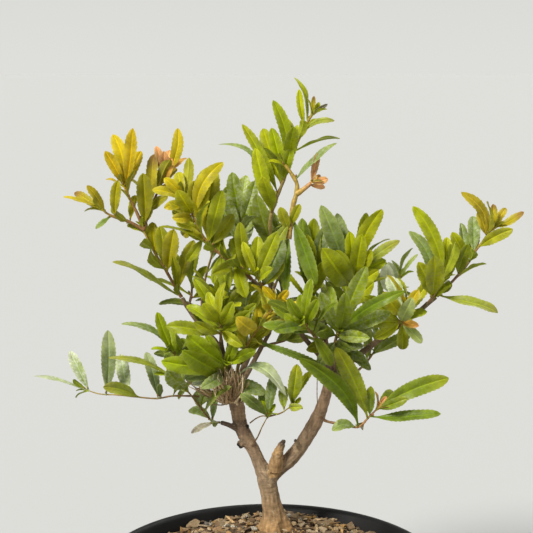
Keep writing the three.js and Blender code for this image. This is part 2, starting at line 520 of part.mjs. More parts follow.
// A smooth route through traced points: its place, radius and direction at a share of its way
class Route {
  constructor(points, radiusAt) {
    this.pixels = points.map((point) => vec(point[0], point[1], 0));
    this.places = points.map((point) => spot(point[0], point[1], point[2]));
    this.radii = points.map((point, i) => (radiusAt ? radiusAt(i / (points.length - 1)) : point[3]));
    this.length = this.distanceTo(1);
  }

  around(values, share) {
    const last = values.length - 1;
    const way = THREE.MathUtils.clamp(share, 0, 1) * last;
    const i = Math.min(Math.floor(way), last - 1);
    return [values[Math.max(i - 1, 0)], values[i], values[i + 1], values[Math.min(i + 2, last)], way - i];
  }

  at(share, points = this.places) {
    const [a, b, c, d, f] = this.around(points, share);
    return vec(spline(a.x, b.x, c.x, d.x, f), spline(a.y, b.y, c.y, d.y, f), spline(a.z, b.z, c.z, d.z, f));
  }

  radius(share) {
    return spline(...this.around(this.radii, share));
  }

  direction(share) {
    return this.at(share + 0.01).sub(this.at(share - 0.01)).normalize();
  }

  distanceTo(share, steps = 60) {
    let sum = 0;
    for (let i = 0; i < steps; i += 1) {
      sum += this.at(share * i / steps).distanceTo(this.at(share * (i + 1) / steps));
    }
    return sum;
  }

  // The share of the way that lies a distance along it
  shareAt(distance) {
    let low = 0;
    let high = 1;
    for (let i = 0; i < 30; i += 1) {
      const middle = (low + high) / 2;
      if (this.distanceTo(middle) < distance) low = middle;
      else high = middle;
    }
    return low;
  }

  // The share of the way, past its start, that lies nearest to a pixel of the picture
  nearest(pixelX, pixelY, from, steps = 60) {
    const pixel = vec(pixelX, pixelY, 0);
    const shares = Array.from({ length: steps + 1 }, (_, i) => lerp(from, 1, i / steps));
    const gaps = shares.map((share) => this.at(share, this.pixels).distanceTo(pixel));
    return shares[gaps.indexOf(Math.min(...gaps))];
  }
}

// A repeatable draw of numbers from 0 to 1
function drawFrom(seed) {
  let state = seed;
  return () => {
    state = (state * 16807) % 2147483647;
    return state / 2147483647;
  };
}

// A closed mesh as a solid that can be joined and cut
function solidOf(geometry) {
  const bare = geometry.clone();
  bare.deleteAttribute("normal");
  bare.deleteAttribute("uv");
  const merged = mergeVertices(bare, 1e-5);
  return new wasm.Manifold(new wasm.Mesh({
    numProp: 3,
    vertProperties: new Float32Array(merged.attributes.position.array),
    triVerts: new Uint32Array(merged.index.array),
  }));
}

// The mesh of a solid's largest skin: hollows that joining has sealed are filled, and scraps dropped
function geometryOf(solid) {
  const { vertProperties, triVerts } = solid.getMesh();
  const owner = Array.from({ length: vertProperties.length / 3 }, (_, i) => i);
  const rootOf = (i) => (owner[i] === i ? i : rootOf(owner[i]));
  const faces = [];
  for (let i = 0; i < triVerts.length; i += 3) {
    const [a, b, c] = triVerts.slice(i, i + 3);
    const root = rootOf(a);
    owner[rootOf(b)] = root;
    owner[rootOf(c)] = root;
    faces.push([a, b, c]);
  }
  const sizes = new Map();
  for (const [corner] of faces) sizes.set(rootOf(corner), (sizes.get(rootOf(corner)) ?? 0) + 1);
  const [largest] = [...sizes].reduce((best, next) => (next[1] > best[1] ? next : best));
  const geometry = new THREE.BufferGeometry();
  geometry.setAttribute("position", new THREE.BufferAttribute(vertProperties, 3));
  geometry.setIndex(faces.filter(([corner]) => rootOf(corner) === largest).flat());
  geometry.computeVertexNormals();
  return geometry;
}

// A tapering stem: a cylinder bent along a stretch of its route and thickened by extra. The ripple is a
// factor on its radius, by the angle round it and the share of the way.
function tube(route, { from = 0, to = 1, sides, steps, extra = 0, ripple = () => 1 }) {
  const geometry = new THREE.CylinderGeometry(1, 1, 1, sides, steps);
  const frames = [];
  let side = Math.abs(route.direction(from).x) > 0.8 ? vec(0, 1, 0) : vec(1, 0, 0);
  for (let i = 0; i <= steps; i += 1) {
    const share = lerp(from, to, i / steps);
    const ahead = route.direction(share);
    side = side.clone().addScaledVector(ahead, -side.dot(ahead)).normalize();
    frames.push({ share, side, across: side.clone().cross(ahead), middle: route.at(share) });
  }
  const place = geometry.attributes.position;
  for (let i = 0; i < place.count; i += 1) {
    const [x, z] = [place.getX(i), place.getZ(i)];
    const { share, side: first, across, middle } = frames[Math.round((place.getY(i) + 0.5) * steps)];
    const reach = route.radius(share) * ripple(Math.atan2(z, x), share) + extra;
    const point = middle.clone().addScaledVector(first, x * reach).addScaledVector(across, z * reach);
    place.setXYZ(i, point.x, point.y, point.z);
  }
  return solidOf(geometry);
}

// A leaf blade of the given shape: folded along its midrib and bowed along its length, with its stalk
// sunk in the stem. A swollen copy, from a share of its length on, tests what the leaf would touch.
function blade(leaf, shape, { from = -LEAF.sink / leaf.length, swell = 0 } = {}) {
  const points = [];
  const add = (share, width, height) => {
    const out = Math.abs(width) * leaf.halfWidth;
    const lift = leaf.bow * leaf.length * 4 * share * (1 - share) + LEAF.fold * out + height;
    const across = width * leaf.halfWidth + Math.sign(width) * swell;
    points.push(leaf.root.clone().addScaledVector(leaf.chord, share * leaf.length)
      .addScaledVector(leaf.face, lift).addScaledVector(leaf.side, across));
    return points.length - 1;
  };
  const rims = shape.rim.filter(([share]) => share > from);
  const ribs = shape.rib.filter((share) => share > from);
  const thick = (share) => LEAF.thickness * (1 - LEAF.taper * share) / 2 + swell;
  const left = rims.map(([share, width]) => add(share, -width, 0));
  const right = rims.map(([share, width]) => add(share, width, 0));
  const top = ribs.map((share) => add(share, 0, thick(share)));
  const bottom = ribs.map((share) => add(share, 0, -thick(share)));
  const foot = add(from, 0, 0);
  const tip = add(1 + swell / leaf.length, 0, 0);
  const faces = [];
  const zip = (rim, rib, flip) => {
    let [i, j] = [0, 0];
    const put = (a, b, c) => faces.push(flip ? [c, b, a] : [a, b, c]);
    put(foot, rib[0], rim[0]);
    while (i < rim.length - 1 || j < rib.length - 1) {
      const alongRim = j === rib.length - 1 || (i < rim.length - 1 && rims[i + 1][0] <= ribs[j + 1]);
      put(rib[j], alongRim ? rim[i + 1] : rib[j + 1], rim[i]);
      if (alongRim) i += 1;
      else j += 1;
    }
    put(rib[j], tip, rim[i]);
  };
  zip(right, top, false);
  zip(left, top, true);
  zip(right, bottom, true);
  zip(left, bottom, false);
  const geometry = new THREE.BufferGeometry();
  const numbers = points.flatMap((point) => point.toArray());
  geometry.setAttribute("position", new THREE.Float32BufferAttribute(numbers, 3));
  geometry.setIndex(faces.flat());
  return solidOf(geometry);
}

function byName(table, make) {
  return Object.fromEntries(Object.entries(table).map(([name, row]) => [name, make(row)]));
}

const stemRadius = (share) => lerp(STEM.rootRadius, STEM.tipRadius, share);
const woodRoutes = byName(WOOD, (points) => new Route(points));
const shootRoutes = byName(SHOOTS, ({ stems }) => stems.map((points) => new Route(points, stemRadius)));

// A shoot grows on from the end of a branch, or else from a spur on the side of the wood
function needsSpur(route) {
  return !Object.values(woodRoutes).some((branch) => branch.at(1).distanceTo(route.at(0)) < 0.1);
}

// The share of its route where a shoot's own stem starts, just past the wood that carries it
function stemStart(route) {
  return route.shareAt(needsSpur(route) ? SPUR.length + SPUR.gap : SPUR.gap);
}

// The trunk is gently ribbed and flares into its surface roots
function trunkRipple(angle, share) {
  const flare = Math.max(0, 1 - Math.abs(share - TRUNK.rootShare) * TRUNK.rootReach);
  const roots = 0.13 * Math.cos(4 * angle + 0.6) + 0.07 * Math.sin(7 * angle);
  return 1 + 0.05 * Math.sin(3 * angle + 7 * share) + flare * roots;
}

function trunkTube(from, extra) {
  const { sides, steps } = TRUNK;
  return tube(woodRoutes.trunk, { from, sides, steps, extra, ripple: trunkRipple });
}

// The wood: trunk, limbs, branches and the spurs of the shoots, grown as one piece
function wood() {
  const finer = { leftLimb: [6, 7], rightLimb: [6, 8], knob: [6, 3] };
  let body = trunkTube(TRUNK.footShare, 0);
  for (const [name, route] of Object.entries(woodRoutes).filter(([key]) => key !== "trunk")) {
    const plain = [route.radii[0] > BRANCH.stoutRadius ? BRANCH.stoutSides : BRANCH.sides,
      Math.max(1, Math.round(route.length / BRANCH.step))];
    const [sides, steps] = finer[name] ?? plain;
    body = body.add(tube(route, { sides, steps }));
  }
  for (const [route] of Object.values(shootRoutes).filter(([stem]) => needsSpur(stem))) {
    body = body.add(tube(route, {
      to: route.shareAt(SPUR.length), sides: BRANCH.sides, steps: 1, extra: SPUR.margin,
    }));
  }
  return body;
}

// The pan: a tapering wall with a rolled lip, an open inside and drain holes round its floor
const wallSlope = (PAN.rimRadius - PAN.lipReach - PAN.footRadius) / PAN.height;
const outerRadius = (height) => PAN.footRadius + wallSlope * height;
const innerRadius = (height) => outerRadius(height) - PAN.wall;
const outline = (pairs) => pairs.map(([x, y]) => new THREE.Vector2(x, y));

function pan() {
  const { height, rimRadius, footRadius, floor, lip } = PAN;
  const shell = new THREE.LatheGeometry(outline([
    [0, 0], [footRadius - 1.5, 0], [footRadius, 1.5], [outerRadius(height - lip), height - lip],
    [rimRadius, height - lip + 1.5], [rimRadius, height - 2.4], [rimRadius - 2, height],
    [innerRadius(height), height - 1.2], [innerRadius(floor), floor], [0, floor],
  ]), PAN.sides);
  shell.rotateX(Math.PI / 2);
  let body = solidOf(shell);
  for (let i = 0; i < DRAIN.count; i += 1) {
    const angle = 2 * Math.PI * (i + 0.5) / DRAIN.count;
    const hole = new THREE.CylinderGeometry(DRAIN.radius, DRAIN.radius, 3 * floor, DRAIN.sides);
    hole.rotateX(Math.PI / 2);
    hole.translate(DRAIN.circle * Math.cos(angle), DRAIN.circle * Math.sin(angle), floor / 2);
    body = body.subtract(solidOf(hole));
  }
  return body;
}

// The height of the soil: a mound at the trunk, lumpy with chips
function soilHeight(x, y) {
  const heart = woodRoutes.trunk.at(0);
  const away = ((x - heart.x) ** 2 + (y - heart.y) ** 2) / (2 * SOIL.spread ** 2);
  const bend = [1.9 * Math.sin(0.33 * y), 1.3 * Math.sin(0.41 * x)];
  const lumps = Math.sin(0.71 * x + bend[0]) + Math.cos(0.63 * y + bend[1]);
  return SOIL.edge + SOIL.crown + SOIL.mound * Math.exp(-away) + SOIL.lump * lumps;
}

// The soil fills the pan and holds the trunk in a plain hole
function soil() {
  const foot = PAN.floor + CLEARANCE;
  const edge = innerRadius(SOIL.edge) - CLEARANCE;
  const profile = [[0, foot], [innerRadius(foot) - CLEARANCE, foot], [edge, SOIL.edge]];
  for (let ring = SOIL.rings; ring >= 0; ring -= 1) {
    profile.push([edge * SOIL.lastRingShare * ring / SOIL.rings, SOIL.edge + SOIL.crown]);
  }
  const fill = new THREE.LatheGeometry(outline(profile), SOIL.sides);
  fill.rotateX(Math.PI / 2);
  const place = fill.attributes.position;
  for (let i = 0; i < place.count; i += 1) {
    if (place.getZ(i) > SOIL.edge + SOIL.crown / 2) place.setZ(i, soilHeight(place.getX(i), place.getY(i)));
  }
  return solidOf(fill).subtract(trunkTube(0, TRUNK.holeGap));
}

// A leaf from its root on the stem's axis to its tip, with the way that its upper face looks
function leafOf(root, tip, towards, width, bow) {
  const length = root.distanceTo(tip);
  const chord = tip.clone().sub(root).normalize();
  const face = towards.clone().addScaledVector(chord, -towards.dot(chord)).normalize();
  const halfWidth = LEAF.width / 2 * Math.sqrt(length / LEAF.usualLength) * width;
  return { root, chord, length, face, side: face.clone().cross(chord), halfWidth, bow };
}

// The same leaf swung about its root, in its own plane and then out of it, and shrunk
function swung(leaf, [inPlane, outOfPlane], shrink) {
  const chord = leaf.chord.clone().applyAxisAngle(leaf.face, degrees(inPlane));
  const side = leaf.face.clone().cross(chord);
  const face = leaf.face.clone().applyAxisAngle(side, degrees(outOfPlane));
  chord.applyAxisAngle(side, degrees(outOfPlane));
  return { ...leaf, chord, side, face, length: leaf.length * shrink, halfWidth: leaf.halfWidth * shrink };
}

// The face of a leaf that looks to the eye at no roll, and upward at a roll of a right angle
function faceToEye(chord, roll) {
  const along = chord.clone().normalize();
  const front = vec(0, -1, 0).addScaledVector(along, along.y).normalize();
  const upward = along.clone().cross(front);
  if (upward.z < 0) upward.negate();
  return front.multiplyScalar(Math.cos(degrees(roll))).addScaledVector(upward, Math.sin(degrees(roll)));
}

// The share of a stem's way from which it may carry leaves
function leafyFrom(route, stem) {
  return stem === 0 ? stemStart(route) + STEM.bare / route.length : STEM.forkShare;
}

// The leaves that are placed one by one
function placedLeaves(shoot, routes) {
  return shoot.leaves.map(([stem, rootX, rootY, tipX, tipY, depth, width, bow, roll]) => {
    const route = routes[stem];
    const root = route.at(route.nearest(rootX, rootY, leafyFrom(route, stem)));
    const tip = spot(tipX, tipY, depth);
    return leafOf(root, tip, faceToEye(tip.clone().sub(root), roll), width, bow);
  });
}

// The leaves that the spiral rule sets along a shoot's stems
function spiralLeaves(shoot, routes, draw) {
  const spread = (reach) => (draw() - 0.5) * reach;
  return routes.flatMap((route, stem) => {
    const count = shoot.spiral[stem] ?? 0;
    const from = leafyFrom(route, stem);
    const firstTurn = 360 * draw();
    return Array.from({ length: count }, (_, i) => {
      const high = (i + SPIRAL.firstShare) / count;
      const turn = firstTurn + SPIRAL.turn * i + spread(SPIRAL.turnSpread);
      const open = degrees(lerp(SPIRAL.openLow, SPIRAL.openHigh, high) + spread(SPIRAL.openSpread));
      const length = shoot.leafLength * lerp(1, SPIRAL.tipLength, high) * (1 + spread(SPIRAL.lengthSpread));
      const width = SPIRAL.width + spread(SPIRAL.widthSpread);
      const bow = SPIRAL.bow + SPIRAL.bowSpread * draw();
      const roll = degrees(spread(SPIRAL.rollSpread));
      const share = lerp(from, 1, high);
      const root = route.at(share);
      const along = route.direction(share);
      const out = vec(0, 0, 1).cross(along).normalize().applyAxisAngle(along, degrees(turn));
      const chord = along.clone().multiplyScalar(Math.cos(open)).addScaledVector(out, Math.sin(open));
      chord.z += SPIRAL.lift;
      chord.normalize();
      const face = along.clone().addScaledVector(chord, -along.dot(chord)).normalize();
      face.applyAxisAngle(chord, roll);
      return leafOf(root, root.clone().addScaledVector(chord, length), face, width, bow);
    });
  });
}

// Whether a leaf shows in a gap of the crown
function fillsGap(leaf) {
  return GAP_SHARES.some((share) => [-0.8, 0, 0.8].some((across) => {
    const arch = leaf.bow * leaf.length * 4 * share * (1 - share);
    const place = leaf.root.clone().addScaledVector(leaf.chord, leaf.length * share)
      .addScaledVector(leaf.face, arch).addScaledVector(leaf.side, leaf.halfWidth * across);
    const [x, y] = pixelOf(place);
    return GAPS.some(([gapX, gapY, radius]) => Math.hypot(x - gapX, y - gapY) < radius);
  }));
}

// What has been placed so far: each solid with its node and its box
const placed = [];

function boxOf(body) {
  const { min, max } = body.boundingBox();
  return new THREE.Box3(vec(...min), vec(...max));
}

function remember(node, body) {
  placed.push({ node, body, box: boxOf(body) });
}

// Whether a solid is clear of all that is placed, its own node left out where that is named
function isClear(body, ownNode) {
  const box = boxOf(body);
  return placed.every((other) => other.node === ownNode || !other.box.intersectsBox(box)
    || body.intersect(other.body).isEmpty());
}

// The first swing of a leaf that is clear of the other nodes, and beyond its stalk of its own shoot too. It
// keeps out of the gaps as well where that is asked.
function clearLeaf(node, leaf, reach, openGaps) {
  for (const shrink of SHRINKS) {
    for (const swing of SWINGS) {
      const turned = swung(leaf, swing.map((angle) => angle * reach), shrink);
      if (openGaps && fillsGap(turned)) continue;
      const whole = blade(turned, TEST_LEAF, { swell: CLEARANCE });
      const beyondStalk = blade(turned, TEST_LEAF, { from: LEAF.stalk, swell: CLEARANCE });
      if (isClear(whole, node) && isClear(beyondStalk)) return turned;
    }
  }
  return null;
}

const solids = { pan: pan(), soil: soil(), trunk_and_limbs: wood() };
const finishes = { ...FINISH };
const nodeName = (name) => "shoot_" + name.replace(/[A-Z]/g, (letter) => "_" + letter.toLowerCase());

for (const [name, body] of Object.entries(solids)) remember(name, body);
for (const [name, routes] of Object.entries(shootRoutes)) {
  const node = nodeName(name);
  const stems = routes.map((route, stem) => tube(route, {
    from: stem === 0 ? stemStart(route) : 0,
    sides: STEM.sides,
    steps: Math.max(2, Math.round(route.length / STEM.step)),
  }));
  for (const stem of stems) remember(node, stem);
  solids[node] = stems.reduce((whole, stem) => whole.add(stem));
  finishes[node] = { color: SHOOTS[name].tint, roughness: LEAF_ROUGHNESS };
}

Object.entries(SHOOTS).forEach(([name, shoot], order) => {
  const node = nodeName(name);
  const routes = shootRoutes[name];
  const grow = (leaf, reach, shape, openGaps) => {
    const clear = clearLeaf(node, leaf, reach, openGaps);
    if (!clear) return;
    const body = blade(clear, shape);
    remember(node, body);
    solids[node] = solids[node].add(body);
  };
  for (const leaf of placedLeaves(shoot, routes)) {
    grow(leaf, 1, leaf.length > LEAF.longLength ? LONG_LEAF : SHORT_LEAF, false);
  }
  for (const leaf of spiralLeaves(shoot, routes, drawFrom(1000 + 77 * order))) {
    grow(leaf, SPIRAL_SWING, SHORT_LEAF, true);
  }
});

const bonsai = new THREE.Group();
for (const [name, body] of Object.entries(solids)) {
  const material = new THREE.MeshStandardMaterial({ ...finishes[name], metalness: 0 });
  const mesh = new THREE.Mesh(geometryOf(body), material);
  mesh.name = name;
  bonsai.add(mesh);
}

export default bonsai;
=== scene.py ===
"""The looks of a small broad-leaved bonsai in a round black nursery pan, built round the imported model.

The traced routes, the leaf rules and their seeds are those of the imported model, so that each fine leaf
takes the place of its plain one. Routes and leaves are worked out in millimetres.
"""

import copy
import itertools
import math

import bmesh
import bpy
import numpy as np
from mathutils import Matrix, Vector, noise
from mathutils.kdtree import KDTree


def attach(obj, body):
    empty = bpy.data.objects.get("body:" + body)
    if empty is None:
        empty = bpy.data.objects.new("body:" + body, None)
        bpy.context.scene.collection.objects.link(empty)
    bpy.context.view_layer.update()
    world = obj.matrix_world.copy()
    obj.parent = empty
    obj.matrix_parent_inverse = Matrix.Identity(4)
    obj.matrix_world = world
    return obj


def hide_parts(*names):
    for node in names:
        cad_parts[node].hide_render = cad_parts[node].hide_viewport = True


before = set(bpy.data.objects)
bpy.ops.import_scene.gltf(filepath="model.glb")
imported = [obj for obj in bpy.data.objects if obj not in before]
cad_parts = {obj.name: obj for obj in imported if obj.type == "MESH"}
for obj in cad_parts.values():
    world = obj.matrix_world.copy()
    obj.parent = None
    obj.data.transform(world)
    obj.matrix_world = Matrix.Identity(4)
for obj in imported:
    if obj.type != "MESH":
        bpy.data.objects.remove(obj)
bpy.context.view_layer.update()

MM = 0.001
# A pixel of the picture at the trunk, in millimetres
PIXEL = 0.586

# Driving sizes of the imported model, in millimetres, and shares of a length where a name says so
PAN = {
    "height": 110, "rim_radius": 100, "foot_radius": 72, "wall": 2.2, "floor": 3, "lip": 9,
    "lip_reach": 3.5,
}
DRAIN = {"count": 6, "radius": 4, "circle": 46}
SOIL = {"edge": 99, "crown": 1, "mound": 12.5, "spread": 34, "lump": 0.8}
TRUNK = {"foot_share": 0.015, "root_share": 0.25, "root_reach": 3.4}
STEM = {"root_radius": 1.15, "tip_radius": 0.8, "bare": 1.5, "fork_share": 0.04}
# A spur's length, the gap past it, how near a branch's end a shoot grows on from it, and a spur's swelling
SPUR = {"length": 4.2, "gap": 0.6, "match": 0.1, "swell": 0.1}
LEAF = {"width": 6.9, "usual_length": 34, "sink": 0.4}

# The picture that the routes are traced on: the eye that sees it, and the upright plane of the trunk.
# A traced point is its pixel x, pixel y and depth behind that plane, minus being nearer to the eye.
PICTURE = {"pixels": 533, "angle": 24, "eye": (-2.3, -685, 394.7), "dip": 9.26, "trunk_plane": 50}

# The trunk, its limbs, branches, cut stubs and knob: traced points, each with its radius
WOOD = {
    "trunk": [[275, 562, 0, 8], [275, 546, 0, 11.2], [275, 533, 0, 11], [274.5, 524, 0, 9.4],
        [273.5, 514, 0, 7], [271.5, 503, 0, 5.9], [269.5, 490, 0, 5.5], [267, 478, 0, 5.9],
        [265.5, 469, 0, 5.2]],
    "left_limb": [[266, 479, 0, 5.2], [259, 462, 0, 4.1], [253, 449, 0, 3.9], [246, 437, 0, 4.4],
        [240.5, 425, 0, 4.3], [238, 412, 0, 4.3], [236, 400, 0, 4.8], [235, 388, 0, 4.2],
        [234, 377, 0, 2.8]],
    "right_limb": [[268, 479, 0, 5], [279, 468, 1, 4.7], [290, 459, 2, 4.6], [300, 447, 2, 4.5],
        [308.5, 434, 2, 4.4], [316, 421, 1, 4.4], [321.5, 408, 0, 3.8], [326, 394, -1, 3.3],
        [329, 378, -2, 2.8], [331, 362, -4, 2.3], [333, 347, -6, 1.8]],
    "knob": [[274, 470, -2, 4.4], [277, 458, -4, 3.7], [280, 448, -5, 2.5], [284, 440.5, -6, 1.3]],
    "cut_left": [[246, 440, 0, 2.4], [238.5, 446.5, -2, 2.3]],
    "cut_upper": [[241, 429, -1, 1.8], [248.5, 426, -4, 1.2]],
    "cut_right": [[302, 450, 0, 1.8], [297, 443.5, -4, 1.3], [295, 439.5, -5, 1]],
    "low_twig": [[239, 430, 0, 2], [229, 425, -2, 1.5], [221, 422.5, -4, 1.35]],
    "left_branch": [[236, 404, 0, 3.6], [226, 394, -4, 2.6], [213, 386, -8, 1.8], [203, 380, -10, 1.5]],
    "left_leader": [[234, 383, -1, 2], [227, 362, -6, 1.9], [217, 344, -8, 1.8], [206, 331, -9, 1.7],
        [196, 319, -9, 1.6], [188, 308, -9, 1.5], [182, 298, -9, 1.4]],
    "left_back": [[236, 396, 2, 2.4], [222, 372, 18, 1.9], [210, 345, 32, 1.6], [203, 318, 40, 1.4]],
    "centre_back": [[235, 387, 0, 2.4], [246, 362, 12, 1.9], [258, 334, 20, 1.7], [268, 300, 20, 1.5],
        [273, 266, 14, 1.4], [272, 240, 6, 1.3]],
    "far_back": [[236, 391, 3, 2.1], [248, 372, 26, 1.8], [260, 350, 43, 1.5], [270, 332, 54, 1.35]],
    "front_left": [[224.5, 357, -7, 1.6], [222, 348, -20, 1.4], [221, 340, -28, 1.3]],
    "diagonal": [[330, 374, -3, 1.9], [319, 355, -12, 1.7], [306, 340, -16, 1.6], [296, 326, -18, 1.5],
        [283, 309, -20, 1.4], [268, 293, -21, 1.3], [252, 280, -21, 1.3]],
    "riser": [[284, 310, -20, 1.3], [285, 285, -20, 1.25], [285, 262, -19, 1.25], [288, 240, -16, 1.2]],
    "right_branch": [[329, 381, -2, 2.3], [340, 369, -6, 2.2], [352, 360, -9, 2.1], [364, 351, -10, 2],
        [376, 342, -11, 1.8], [388, 333, -12, 1.7], [400, 325, -13, 1.6], [412, 317, -14, 1.5],
        [424, 307, -14, 1.4], [436, 297, -14, 1.3]],
    "right_back": [[327, 392, 0, 2.4], [336, 366, 16, 2], [345, 338, 30, 1.7], [350, 312, 38, 1.5]],
    "front_right": [[330, 370, -5, 1.8], [324, 352, -26, 1.5], [316, 338, -44, 1.35]],
}

